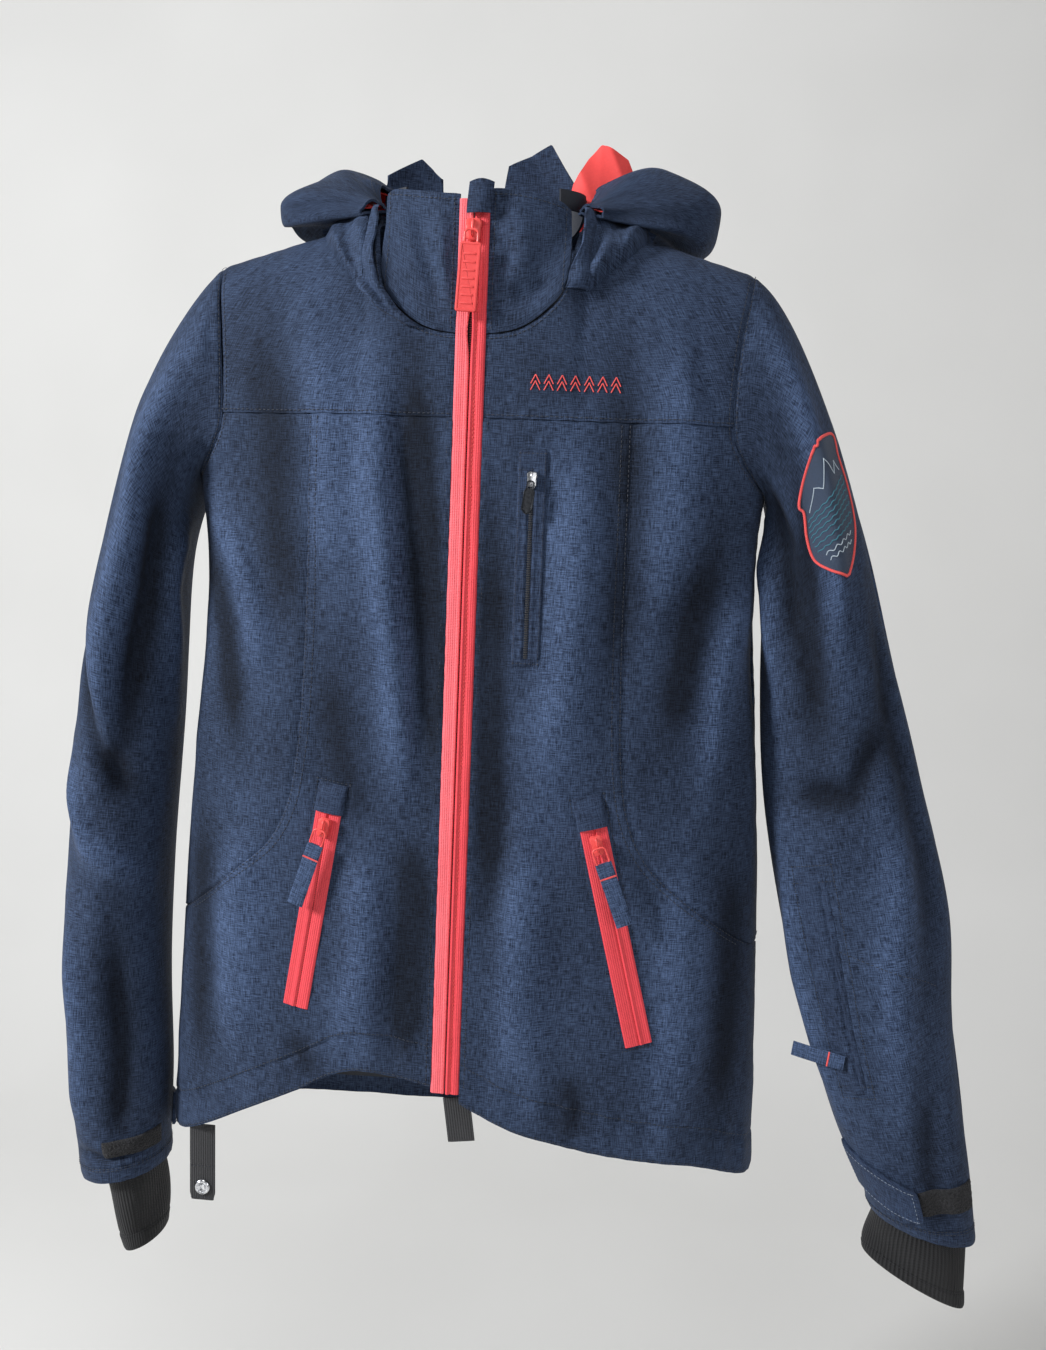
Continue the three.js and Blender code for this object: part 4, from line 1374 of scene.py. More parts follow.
def wire(path: Array, radius: float, sides: int = 10, closed: bool = False) -> tuple[Array, list]:
    """Makes a round wire along a path.

    Args:
        path: the points of its middle line.
        radius: its radius.
        sides: how many sides it has.
        closed: whether it joins up.

    Returns:
        Its points and faces.
    """
    path = np.asarray(path, float)
    n = len(path)
    if closed:
        ahead = np.roll(path, -1, 0) - np.roll(path, 1, 0)
    else:
        ahead = np.gradient(path, axis=0)
    ahead /= np.linalg.norm(ahead, axis=1, keepdims=True)
    side = np.cross(ahead[0], (0.31, 0.57, 0.76))
    rings = []
    for k in range(n):
        side = side - ahead[k] * np.dot(side, ahead[k])
        side /= np.linalg.norm(side)
        up = np.cross(ahead[k], side)
        turns = around(sides)
        rings.append(path[k] + radius * (np.cos(turns)[:, None] * side + np.sin(turns)[:, None] * up))
    points = np.vstack(rings)
    faces = []
    for k in range(n if closed else n - 1):
        m = (k + 1) % n
        faces += ring_faces(k, m, sides)
    if not closed:
        faces += [tuple(reversed(range(sides))), tuple(range((n - 1) * sides, n * sides))]
    return points, faces


def turned(profile: Sequence[tuple[float, float]], sides: int = 32) -> tuple[Array, list]:
    """Turns a profile round Z and closes its ends.

    Args:
        profile: radius and height of each step.
        sides: how many sides it has.

    Returns:
        Its points and faces.
    """
    turns = around(sides)
    rings = [np.column_stack([r * np.cos(turns), r * np.sin(turns), np.full(sides, z)]) for r, z in profile]
    faces = [tuple(reversed(range(sides))), tuple(range((len(profile) - 1) * sides, len(profile) * sides))]
    for r in range(len(profile) - 1):
        faces += ring_faces(r, r + 1, sides)
    return np.vstack(rings), faces


def seat(skin: Skin, x: float, z: float, out: float, lean: float = 0.0) -> Array:
    """Finds a place on a skin: X across, Y up and Z out of the cloth, turned about Z.

    Args:
        skin: the cloth.
        x: first coordinate.
        z: second coordinate.
        out: how far above the smooth cloth.
        lean: the turn in radians.

    Returns:
        A 4 by 4 matrix in millimetres.
    """
    def spot(a: float, b: float) -> Array:
        """Reads one point."""
        return skin.base(np.array(a), np.array(b))
    across, up = spot(x + 2, z) - spot(x - 2, z), spot(x, z + 2) - spot(x, z - 2)
    across, up = across / np.linalg.norm(across), up / np.linalg.norm(up)
    normal = np.cross(across, up)
    normal /= np.linalg.norm(normal)
    top = up * math.cos(lean) + np.cross(normal, up) * math.sin(lean)
    made = np.eye(4)
    made[:3, :3] = np.stack([np.cross(top, normal), top, normal], -1)
    made[:3, 3] = spot(x, z) + normal * out
    return made


def shift(x: float, y: float, z: float) -> Array:
    """Gives a matrix that moves."""
    made = np.eye(4)
    made[:3, 3] = (x, y, z)
    return made


# ---- Rows that Geometry Nodes repeat --------------------------------------------------------------


@dataclass
class Row:
    """Small equal pieces set along lines: stitches, or the teeth of a coil zip."""

    name: str
    pitch: float
    size: tuple[float, float, float]
    lines: list = field(default_factory=list)
    tree_name: str = "row_along_lines"

    def line(self, points: Array, normals: Array) -> None:
        """Adds a line.

        Args:
            points: its points in millimetres.
            normals: the outward direction at each point.
        """
        self.lines.append((np.asarray(points, float), np.asarray(normals, float)))

    def on(self, skin: Skin, a: Array, b: Array, out: float = 0.15) -> None:
        """Adds a line that lies on a skin.

        Args:
            skin: the cloth.
            a: first coordinates along the line.
            b: second coordinates.
            out: how far above the cloth.
        """
        a, b = both(a, b)
        self.line(skin.at(a, b, out), skin.normal(a, b))

    def tree(self) -> bpy.types.GeometryNodeTree:
        """Builds the node tree once.

        Returns:
            A tree that sets one small rounded piece at every step of every line.
        """
        found = bpy.data.node_groups.get(self.tree_name)
        if found:
            return found
        tree = bpy.data.node_groups.new(self.tree_name, "GeometryNodeTree")
        ways = (
            ("Lines", "INPUT", "Geometry"), ("Pitch", "INPUT", "Float"), ("Piece Size", "INPUT", "Vector"),
            ("Finish", "INPUT", "Material"), ("Row", "OUTPUT", "Geometry"))
        for name, way, kind in ways:
            tree.interface.new_socket(name, in_out=way, socket_type="NodeSocket" + kind)

        def node(kind: str, **settings: object) -> bpy.types.Node:
            """Adds a node with settings."""
            made = tree.nodes.new(kind)
            for key, value in settings.items():
                setattr(made, key, value)
            return made

        start, end = node("NodeGroupInput"), node("NodeGroupOutput")
        curve = node("GeometryNodeMeshToCurve")
        spaced = node("GeometryNodeResampleCurve")
        if "Mode" in spaced.inputs:
            spaced.inputs["Mode"].default_value = "Length"
        else:
            spaced.mode = "LENGTH"
        bead = node("GeometryNodeMeshUVSphere")
        bead.inputs["Segments"].default_value, bead.inputs["Rings"].default_value = 7, 4
        bead.inputs["Radius"].default_value = 0.5
        tangent = node("GeometryNodeInputTangent")
        out = node("GeometryNodeInputNamedAttribute", data_type="FLOAT_VECTOR")
        out.inputs["Name"].default_value = "face_out"
        first = node("FunctionNodeAlignRotationToVector", axis="X")
        second = node("FunctionNodeAlignRotationToVector", axis="Z", pivot_axis="X")
        placed = node("GeometryNodeInstanceOnPoints")
        real, dressed = node("GeometryNodeRealizeInstances"), node("GeometryNodeSetMaterial")
        shaded = node("GeometryNodeSetShadeSmooth")
        links = (
            ("Lines", start, curve, "Mesh"), ("Curve", curve, spaced, "Curve"),
            ("Pitch", start, spaced, "Length"), ("Tangent", tangent, first, "Vector"),
            ("Rotation", first, second, "Rotation"), ("Attribute", out, second, "Vector"),
            ("Curve", spaced, placed, "Points"), ("Mesh", bead, placed, "Instance"),
            ("Rotation", second, placed, "Rotation"), ("Piece Size", start, placed, "Scale"),
            ("Instances", placed, real, "Geometry"), ("Geometry", real, shaded, "Geometry"),
            ("Geometry", shaded, dressed, "Geometry"), ("Finish", start, dressed, "Material"),
            ("Geometry", dressed, end, "Row"),
        )
        for given, source, target, taken in links:
            tree.links.new(source.outputs[given], target.inputs[taken])
        return tree

    def make(self, material: bpy.types.Material, body: str, slot: str,
             nodes: Sequence[str] = ()) -> bpy.types.Object:
        """Builds the row as a plain mesh.

        Args:
            material: its finish.
            body: the CAD body that it moves with, or an empty word.
            slot: the record slot of its finish.
            nodes: the CAD nodes that it stands for.

        Returns:
            The object.
        """
        points, edges, outs, start = [], [], [], 0
        for line, normals in self.lines:
            points.append(line * MM)
            outs.append(normals)
            edges += [(start + k, start + k + 1) for k in range(len(line) - 1)]
            start += len(line)
        mesh = bpy.data.meshes.new(self.name + "_lines")
        mesh.from_pydata(np.vstack(points).tolist(), edges, [])
        layer = mesh.attributes.new("face_out", "FLOAT_VECTOR", "POINT")
        layer.data.foreach_set("vector", np.vstack(outs).astype(np.float32).ravel())
        holder = bring(self.name + "_lines", mesh)
        modifier = holder.modifiers.new("row", "NODES")
        modifier.node_group = self.tree()
        values = {"Pitch": self.pitch * MM, "Piece Size": tuple(s * MM for s in self.size),
            "Finish": material}
        for item in modifier.node_group.interface.items_tree:
            if item.item_type == "SOCKET" and item.in_out == "INPUT" and item.name in values:
                modifier[item.identifier] = values[item.name]
        graph = bpy.context.evaluated_depsgraph_get()
        result = bpy.data.meshes.new_from_object(holder.evaluated_get(graph), depsgraph=graph)
        result.name = self.name
        bpy.data.objects.remove(holder, do_unlink=True)
        if not result.materials:
            result.materials.append(material)
        return finish_piece(bring(self.name, result), slot, body, *nodes)


# ---- The body of the jacket -----------------------------------------------------------------------

SEAM_LINE = Through([
    (-130, 113), (-330, 115), (-400, 121), (-440, 137), (-470, 165), (-498, 200), (-512, 221)])
ZIP_EDGE = 10.45


def front_edge(z: Array) -> Array:
    """Gives the outer edge of a front panel at a height."""
    side = TORSO.half_width(z) * JUST_INSIDE
    return np.where(z > -512, np.minimum(SEAM_LINE(z), side), side)


@dataclass
class BodyShell:
    """The outer cloth of the body, its lining and the stitching of its seams."""

    finishes: Finishes
    thick: float = 2.2
    lining_depth: float = 6.4

    def fronts(self) -> None:
        """Makes the front panels, side panels and yokes."""
        for side in Side:
            sign, word = side.value, side.word
            v, u = grid(shares(210), np.sin(shares(64) * math.pi / 2))
            z = lerp(TORSO.yoke_z - 0.1, TORSO.hem_z, v)
            x = sign * lerp(ZIP_EDGE, front_edge(z), u)
            fold = 0.9 * crest(np.abs(x) - ZIP_EDGE - 1.5, 2.6)
            z = TORSO.hang(x, z)
            Panel(f"front_{word}", FRONT, x, z, self.thick, edges=Edges(0.7, 1.3, 1.2, 0.9), lift=fold).make(
                self.finishes, "jacket", [f"front_panel_{word}"])
            v, u = grid(shares(150), np.sin(shares(40) * math.pi / 2))
            z = lerp(TORSO.yoke_z - 0.1, -511.0, v)
            x = sign * lerp(SEAM_LINE(z), TORSO.side_edge(z), u)
            Panel(f"side_{word}", FRONT, x, TORSO.hang(x, z), self.thick).make(
                self.finishes, "jacket", [f"side_panel_{word}"])
            v, u = grid(shares(56), shares(76))
            reach = lerp(ZIP_EDGE, TORSO.shoulder_x, u)
            top = np.where(reach < TORSO.neck_x, TORSO.neckline(reach), TORSO.shoulder(reach))
            z = lerp(top, TORSO.yoke_z + 0.1, 1 - np.sin((1 - v) * math.pi / 2))
            x = sign * lerp(ZIP_EDGE, lerp(TORSO.shoulder_x, TORSO.armhole(z), smooth(v * 3)) - 0.6, u)
            Panel(f"yoke_{word}", FRONT, x, z, self.thick, edges=Edges(0.7, 1.2, 1.0, 0.3)).make(
                self.finishes, "jacket", [f"front_yoke_{word}"])

    def backs(self) -> None:
        """Makes the back panel and the back yoke."""
        v, u = grid(shares(190), np.sin(np.linspace(-0.5, 0.5, 130) * math.pi))
        z = lerp(TORSO.back_yoke_z - 0.1, TORSO.back_hem_z, v)
        Panel("back", BACK, TORSO.side_edge(z) * u, z, self.thick).make(
            self.finishes, "jacket", ["back_panel"])
        v, u = grid(shares(50), np.linspace(-1, 1, 130))
        reach = u * TORSO.shoulder_x
        top = np.where(np.abs(reach) < TORSO.neck_x, TORSO.back_neck(np.abs(reach)), TORSO.shoulder(reach))
        z = lerp(top, TORSO.back_yoke_z + 0.1, 1 - np.sin((1 - v) * math.pi / 2))
        x = reach * (lerp(1, TORSO.armhole(z) / TORSO.shoulder_x, smooth(v * 3)) - 0.6 / TORSO.shoulder_x)
        Panel("yoke_back", BACK, x, z, self.thick, edges=Edges(1.2, 1.2, 1.0, 0.3)).make(
            self.finishes, "jacket", ["back_yoke"])

    def linings(self) -> None:
        """Makes the linings of the fronts and the back."""
        for side in Side:
            v, u = grid(shares(60), np.sin(shares(24) * math.pi / 2))
            z = lerp(-100.0, TORSO.hem_z + 20, v)
            x = side.value * lerp(14.0, TORSO.side_edge(z) - 16, u)
            z = TORSO.hang(x, z)
            Panel(f"lining_front_{side.word}", FRONT, x, z, 1.0, "dark_lining", NO_SEAM,
                depth=self.lining_depth + 1.2).make(
                self.finishes, "jacket", [f"front_lining_{side.word}"])
        v, u = grid(shares(70), np.sin(np.linspace(-0.5, 0.5, 50) * math.pi))
        z = lerp(-30.0, TORSO.back_hem_z + 16, v)
        Panel("lining_back", BACK, (TORSO.side_edge(z) - 14) * u, z, 1.0, "dark_lining", NO_SEAM,
            depth=self.lining_depth).make(
            self.finishes, "jacket", ["back_lining"])

    def seams(self) -> None:
        """Sews the topstitching of the body in matching thread."""
        rows = Row("body_stitches", 3.3, (2.5, 0.62, 0.5))
        for side in Side:
            s = side.value
            for gap in (1.9, 7.6):
                z = np.linspace(TORSO.yoke_z - 3, -506, 150)
                x = SEAM_LINE(z) - gap
                rows.on(FRONT, s * x, TORSO.hang(s * x, z))
            x = np.linspace(14, 180, 90)
            rows.on(FRONT, s * x, np.full(90, TORSO.yoke_z + 2.2))
            z = np.linspace(TORSO.yoke_z - 4, -608, 240)
            rows.on(FRONT, np.full(240, s * (ZIP_EDGE + 3.4)), z)
            x = np.linspace(14, 70, 60)
            rows.on(FRONT, s * x, TORSO.neckline(x) - 3.0)
            z = np.linspace(TORSO.shoulder_z - 8, TORSO.armpit_z + 2, 90)
            rows.on(FRONT, s * (TORSO.armhole(z) - 3.6), z)
            rows.on(BACK, s * (TORSO.armhole(z) - 3.6), z)
            x = np.linspace(12, 222, 160)
            for gap in (30.0, 1.9):
                rows.on(FRONT, s * x, TORSO.hem(s * x) + gap)
        for gap in (30.0, 2.0):
            rows.on(BACK, np.linspace(-222, 222, 260), np.full(260, TORSO.back_hem_z + gap))
        rows.on(BACK, np.linspace(-178, 178, 200), np.full(200, TORSO.back_yoke_z + 2.4))
        rows.make(self.finishes["navy_thread"], "jacket", "navy_trim")

    def make(self) -> None:
        """Builds everything of the body."""
        self.fronts()
        self.backs()
        self.linings()
        self.seams()
        for node in ("chest_pocket_bag", "pocket_bag_right", "pocket_bag_left"):
            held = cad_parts[node]
            for place in held.material_slots:
                place.material = self.finishes["dark_lining"]
            if "cut" not in held.data.uv_layers:
                held.data.uv_layers.new(name="cut")


# ---- Collar ---------------------------------------------------------------------------------------


class CollarSkin(Skin):
    """The standing collar's front, read by x and z."""

    def base(self, a: Array, b: Array) -> Array:
        """Gives the points of the collar."""
        a, b = both(a, b)
        share = (1 - np.minimum(1, np.abs(a) / 82) ** 2.5) ** 0.4
        low = TORSO.neckline(np.abs(a))
        body = -0.5 - TORSO.front_depth(low) * TORSO.fullness(a, low)
        y = lerp(body, -TORSO.front_depth(b) * share, smooth((b - low) / 45))
        return np.stack([a, y, b], -1)

    def relief(self, a: Array, b: Array) -> Array:
        """Gives the soft dents of the collar."""
        a, b = both(a, b)
        folds = (
            Fold(((-44, 10), (-36, -20), (-20, -60)), 7, -1.6),
            Fold(((-24, 0), (-20, -30), (-16, -60)), 8, 1.2),
            Fold(((30, 6), (34, -24), (26, -50)), 9, 1.2), Fold(((24, -52), (42, -50), (56, -40)), 6, -1.2))
        return sum(f.lift(a, b) for f in folds) * smooth((np.abs(a) - 12) / 10)


class RingSkin(Skin):
    """The inside back of the collar, read by its turn round the neck and its drop."""

    facing = -1.0

    def steps(self) -> tuple[float, float]:
        """Gives the small steps that are used to find the normal."""
        return 0.01, 0.01

    def base(self, a: Array, b: Array) -> Array:
        """Gives the points of the ring."""
        a, b = both(a, b)
        turn = lerp(-0.22, 1.22, a) * math.pi
        x = 71 * np.cos(turn)
        y = np.sin(turn) * np.where(np.sin(turn) > 0, 47, 40)
        low = lerp(13, 0, smooth(np.sin(turn) * 1.5))
        return np.stack([x, y, lerp(26, low, b)], -1)


COLLAR = CollarSkin()


@dataclass
class Collar:
    """The standing collar with its chin guard."""

    finishes: Finishes
    end: float = 65.0
    top_right: Through = Through([(0, 14), (30, 16), (66, 21)])
    top_left: Through = Through([(0, 18), (30, 18), (66, 11)])

    def halves(self) -> None:
        """Makes both fronts of the collar with their stitching."""
        rows = Row("collar_stitches", 3.2, (2.4, 0.6, 0.5))
        for side in Side:
            s = side.value
            top = self.top_right if s < 0 else self.top_left
            v, u = grid(shares(44), shares(36))
            x = lerp(ZIP_EDGE, self.end, u)
            foot = TORSO.neckline(x) + 0.6 + 2 * (x / self.end) ** 2
            z = lerp(top(x), foot, v)
            round_off = 3.2 * crest(self.end - x, 5)
            z = z - np.where(v < 0.5, round_off * (1 - 2 * v), 0)
            Panel(f"collar_{side.word}", COLLAR, s * x, z, 2.2, edges=Edges(0.6, 1.0, 1.0, 0.9)).make(
                self.finishes, "jacket", [f"collar_{side.word}"])
            x = np.linspace(14, self.end - 4, 60)
            rows.on(COLLAR, s * x, top(x) - 4.2)
            z = np.linspace(float(top(self.end)) - 4, float(TORSO.neckline(60)) + 6, 50)
            rows.on(COLLAR, np.full(50, s * (self.end - 4.0)), z)
            rows.on(COLLAR, np.full(50, s * (ZIP_EDGE + 3.4)), np.linspace(float(top(14)) - 4, -74, 50))
        rows.make(self.finishes["navy_thread"], "jacket", "navy_trim")

    def inside(self) -> None:
        """Makes the collar's back and the loop that guards the chin."""
        v, u = grid(shares(12), shares(120))
        Panel("collar_ring", RingSkin(), u, v, 2.0, "dark_lining", Edges(0, 0, 0.6, 0.6, pucker=0)).make(
            self.finishes, "jacket", ["collar_back"])
        v, u = grid(shares(22), shares(40))
        # the guard is a strap that bows over the top of the zip
        x = lerp(-3.4, 13.6, u) - 1.6 * v
        y = -62 - 2.4 - 2.6 * np.sin(math.pi * u) - 0.9 * np.sin(math.pi * v)
        z = lerp(21, 1, v) + 1.8 * np.sin(math.pi * u) * (1 - v)
        outer = np.stack([x, y, z], -1)
        normals = grid_normals(outer)
        normals = normals if normals[..., 1].mean() < 0 else -normals
        made = wall("chin_loop", outer, outer - normals * 1.8, np.stack([x, z], -1),
            self.finishes["navy_trim"])
        finish_piece(made, "navy_trim", "jacket", "chin_guard")

    def make(self) -> None:
        """Builds the collar."""
        self.halves()
        self.inside()


# ---- Bands, sliders and pullers ---------------------------------------------------------------------


def band(name: str, skin: Skin, path: Array, width: float, lift: Callable[[Array, Array], Array],
         thick: float, material: bpy.types.Material, columns: int = 14, rows: int = 80,
         relief: float = 1.0) -> bpy.types.Object:
    """Makes a strip of tape or cloth that lies along a line on a skin.

    Args:
        name: the piece's name.
        skin: the cloth under it.
        path: the line's start and end in the skin's coordinates, in millimetres.
        width: its width.
        lift: how high its face stands, by place across from -1 to 1 and along from 0 to 1.
        thick: its thickness.
        material: its finish.
        columns: how finely it is divided across.
        rows: how finely it is divided along.
        relief: how much of the folds of the cloth it follows.

    Returns:
        The object.
    """
    start, end = np.asarray(path[0], float), np.asarray(path[1], float)
    ahead = (end - start) / np.linalg.norm(end - start)
    v, u = grid(shares(rows), np.linspace(-1, 1, columns))
    a = lerp(start[0], end[0], v) - ahead[1] * width / 2 * u
    b = lerp(start[1], end[1], v) + ahead[0] * width / 2 * u
    base, normals = skin.base(a, b), skin.normal(a, b)
    high = lift(u, v) + skin.relief(a, b) * relief
    outer = base + normals * high[..., None]
    inner = outer - normals * thick
    cuts = np.stack([u * width / 2, -v * np.linalg.norm(end - start)], -1)
    return wall(name, outer, inner, cuts, material)


@dataclass(frozen=True)
class Slider:
    """A zip slider: a pinched body, side flanges, a bridge and the bail that carries the puller."""

    width: float
    height: float
    thick: float

    def shape(self, at: Array) -> Shape:
        """Builds the slider.

        Args:
            at: its place, X across, Y up and Z out of the cloth.

        Returns:
            The shape.
        """
        w, h, t = self.width, self.height, self.thick
        body = np.array([(-0.30, -0.50), (0.30, -0.50), (0.40, -0.30), (0.42, 0.0), (0.50, 0.25),
            (0.46, 0.42), (0.30, 0.50),
                         (-0.30, 0.50), (-0.46, 0.42), (-0.50, 0.25), (-0.42, 0.0), (-0.40, -0.30)]) * (w, h)
        made = Shape()
        made.add(*plate(body, t * 0.24, 0.3), at=at)
        made.add(*plate(body * (0.96, 0.96), t * 0.26, 0.35), at=at @ shift(0, 0, t * 0.42))
        for sign in (-1, 1):
            made.add(*plate(rounded(w * 0.16, h * 0.34, -h * 0.40, w * 0.07), t * 0.5, 0.25),
                at=at @ shift(sign * w * 0.36, 0, t * 0.1))
        arch = np.array([(0, h * 0.36, t * 0.6), (0, h * 0.33, t * 0.92), (0, h * 0.18, t * 1.02),
            (0, -h * 0.08, t * 1.02),
                         (0, -h * 0.26, t * 0.9), (0, -h * 0.30, t * 0.6)])
        made.add(*wire(Rail(arch, 6)(shares(20)), w * 0.10), at=at)
        return made

    def ring(self, drop: float, reach: float, width: float) -> Array:
        """Gives the middle line of the bail that hangs from the bridge.

        Args:
            drop: how far below the bridge its foot lies.
            reach: how high its top lies.
            width: its width.

        Returns:
            A closed line round the bail.
        """
        outline = rounded(width, reach, -drop, width * 0.3, 4)
        return np.column_stack([outline, np.zeros(len(outline))])


@dataclass
class MainZip:
    """The coral front zip with its slider and long puller."""

    finishes: Finishes
    top: float = 11.0
    foot: float = -614.0

    def tapes(self) -> None:
        """Makes both tapes, which part a little below the slider, and the coil between them."""
        rows = Row("zip_tape_stitches", 3.0, (2.2, 0.5, 0.42))
        for side in Side:
            s = side.value
            v, u = grid(shares(320), shares(16))
            z = lerp(self.top, self.foot, v)
            part = 1.7 * crest(z + 76, 13) if s < 0 else 0.35 * crest(z + 76, 12)
            x = lerp(0.55 + part, 10.4, u)
            if s < 0:
                lift = 0.5 + 0.5 * crest(u - 0.10, 0.12) + 0.25 * crest(u - 0.55, 0.30)
                lift = lift - 0.9 * smooth((u - 0.86) / 0.14)
            else:
                lift = 0.8 + 1.1 * crest(u - 0.13, 0.15) - 0.5 * crest(u - 0.36, 0.07)
                lift = lift + 0.35 * crest(u - 0.66, 0.22) - 1.0 * smooth((u - 0.88) / 0.12)
            lift = (lift + 0.16 * np.sin(z / 9.0 + 2 * np.sin(z / 31.0)) * np.sin(math.pi * u)
                - 0.5 * crest(u, 0.05))
            base = np.stack([s * x, -TORSO.front_depth(z) - lift, z], -1)
            inner = base + np.array((0, 1.0, 0))
            slot = "coral_tape" if s > 0 else "coral_tape_light"
            made = wall(f"tape_{side.word}", base, inner, np.stack([s * x, z], -1), self.finishes[slot])
            finish_piece(made, "coral_tape", "jacket", f"zip_tape_{side.word}")
            z = np.linspace(self.top - 8, self.foot + 3, 300)
            at = 3.9 if s > 0 else 2.2
            high = 0.95 if s > 0 else 0.85
            rows.line(np.stack([np.full(300, s * at), -TORSO.front_depth(z) - high, z], -1), forward(300))
        rows.make(self.finishes["coral_thread"], "jacket", "coral_thread")
        coil = Row("zip_coil", 1.5, (0.9, 2.6, 1.3))
        z = np.linspace(self.top - 4, self.foot + 2, 300)
        coil.line(np.stack([np.zeros(300), -TORSO.front_depth(z) + 0.8, z], -1), forward(300))
        coil.make(self.finishes["zip_teeth_coral"], "jacket", "zip_teeth_coral", ["zip_chain"])

    def slider(self) -> None:
        """Makes the slider and the puller that hangs from it."""
        skin = ZipSkin()
        at = seat(skin, 0, -10, 1.4)
        parts = Slider(11, 15, 5.6)
        made = parts.shape(at).make("main_slider", self.finishes["coral_metal"])
        finish_piece(made, "coral_metal", "front_zip_slider", "zip_slider")
        hung = seat(skin, 0, -10, 9.4, -0.05)
        pull = Shape()
        pull.add(*plate(rounded(14.6, -9.6, -55.2, 1.6, 4), 2.4, 0.5, 0.35, 1.5), at=hung @ shift(0, 0, -1.2))
        for k in range(7):
            z = -16.5 - 5.4 * k
            pull.add(*plate(rounded(8.4, z, z - 1.5, 0.6, 3), 0.55, 0.2), at=hung @ shift(0, 0, 0.75))
        grip = pull.make("main_puller", self.finishes["coral_rubber"])
        finish_piece(grip, "coral_rubber", "front_puller", "zip_puller")
        bail = Shape()
        bail.add(*wire(parts.ring(11.5, -1.2, 9.0), 0.85, closed=True), at=hung @ shift(0, 0, -0.1))
        finish_piece(bail.make("main_bail", self.finishes["coral_metal"]), "coral_metal", "front_puller")

    def make(self) -> None:
        """Builds the main zip."""
        self.tapes()
        self.slider()


class ZipSkin(Skin):
    """The plane that the main zip's slider runs along."""

    def base(self, a: Array, b: Array) -> Array:
        """Gives the points of the zip's face."""
        a, b = both(a, b)
        return np.stack([a, -TORSO.front_depth(b), b], -1)


# ---- Pockets --------------------------------------------------------------------------------------


@dataclass
class ChestPocket:
    """The upright chest pocket with its narrow dark zip."""

    finishes: Finishes
    x: float = 46.0
    top: float = -156.0
    foot: float = -302.0
    slider_z: float = -175.0
    stitch_half: float = 8.6
    chevrons: int = 7
    chevron_x: float = 45.5
    chevron_pitch: float = 9.1
    chevron_half: float = 3.0

    def make(self) -> None:
        """Builds the welt, the coil, the slider and the pointed puller."""
        def face(u: Array, v: Array) -> Array:
            """Raises both lips of the welt beside the coil."""
            lips = 0.75 * crest(np.abs(u) - 0.34, 0.13) - 0.5 * crest(u, 0.14)
            ends = smooth((v - 0.085) / 0.012) * smooth((0.978 - v) / 0.012)
            rim = -1.0 * crest(1 - np.abs(u), 0.07) - 0.8 * crest(np.minimum(v, 1 - v), 0.008)
            return 1.25 + lips * ends + rim
        path = [(self.x, self.top + 1), (self.x, self.foot - 1)]
        made = band("chest_welt", FRONT, path, 20, face, 1.0, self.finishes["navy_trim"], 34, 120)
        finish_piece(made, "navy_trim", "jacket", "chest_pocket_welt")
        coil = Row("chest_coil", 1.2, (0.8, 3.4, 1.5))
        z = np.linspace(self.top - 14, self.foot + 5, 120)
        coil.on(FRONT, np.full(120, self.x), z, 1.35)
        coil.make(self.finishes["zip_teeth_black"], "jacket", "zip_teeth_black", ["chest_zip_chain"])
        rows = Row("chest_stitches", 2.8, (2.1, 0.55, 0.45))
        for edge in (-self.stitch_half, self.stitch_half):
            rows.on(FRONT, np.full(90, self.x + edge), np.linspace(self.top - 1, self.foot + 1, 90), 1.1)
        for z in (self.top - 1, self.top - 12, self.foot + 1):
            rows.on(FRONT, np.linspace(self.x - self.stitch_half, self.x + self.stitch_half, 12),
                np.full(12, z), 1.2)
        rows.make(self.finishes["navy_thread"], "jacket", "navy_trim")
        parts = Slider(7, 11, 4.4)
        at = seat(FRONT, self.x, self.slider_z, 3.0)
        finish_piece(parts.shape(at).make("chest_zip_slider", self.finishes["chrome"]), "chrome",
            "chest_slider_body", "chest_slider")
        hung = seat(FRONT, self.x, self.slider_z, 9.3, -0.12)
        pull = Shape()
        half = [(-2.6, -6.2), (-3.9, -8.4), (-3.9, -20.6), (-2.0, -23.0)]
        outline = np.array(half + [(0, -24.2)] + [(-x, y) for x, y in reversed(half)])
        pull.add(*plate(outline, 1.7, 0.45, 0.3, 0.9), at=hung @ shift(0, 0, -0.85))
        pull.add(*wire(parts.ring(8.0, -1.4, 4.4), 0.55, 8, True), at=hung)
        finish_piece(pull.make("chest_zip_puller", self.finishes["gunmetal"]), "gunmetal",
            "chest_puller_body", "chest_puller")
        self.motif()

    def motif(self) -> None:
        """Embroiders a plain row of chevrons above the pocket."""
        rows = Row("chest_chevrons", 0.75, (1.1, 0.95, 0.7))
        for k in range(self.chevrons):
            x = self.chevron_x + self.chevron_pitch * k
            half = self.chevron_half
            a = np.concatenate([np.linspace(x - half, x, 10), np.linspace(x, x + half, 10)])
            for foot, tip in ((-109.6, -103.8), (-113.9, -108.1)):
                b = np.concatenate([np.linspace(foot, tip, 10), np.linspace(tip, foot, 10)])
                rows.on(FRONT, a, b, 0.35)
        rows.make(self.finishes["coral_thread"], "jacket", "coral_thread", ["chest_motif"])


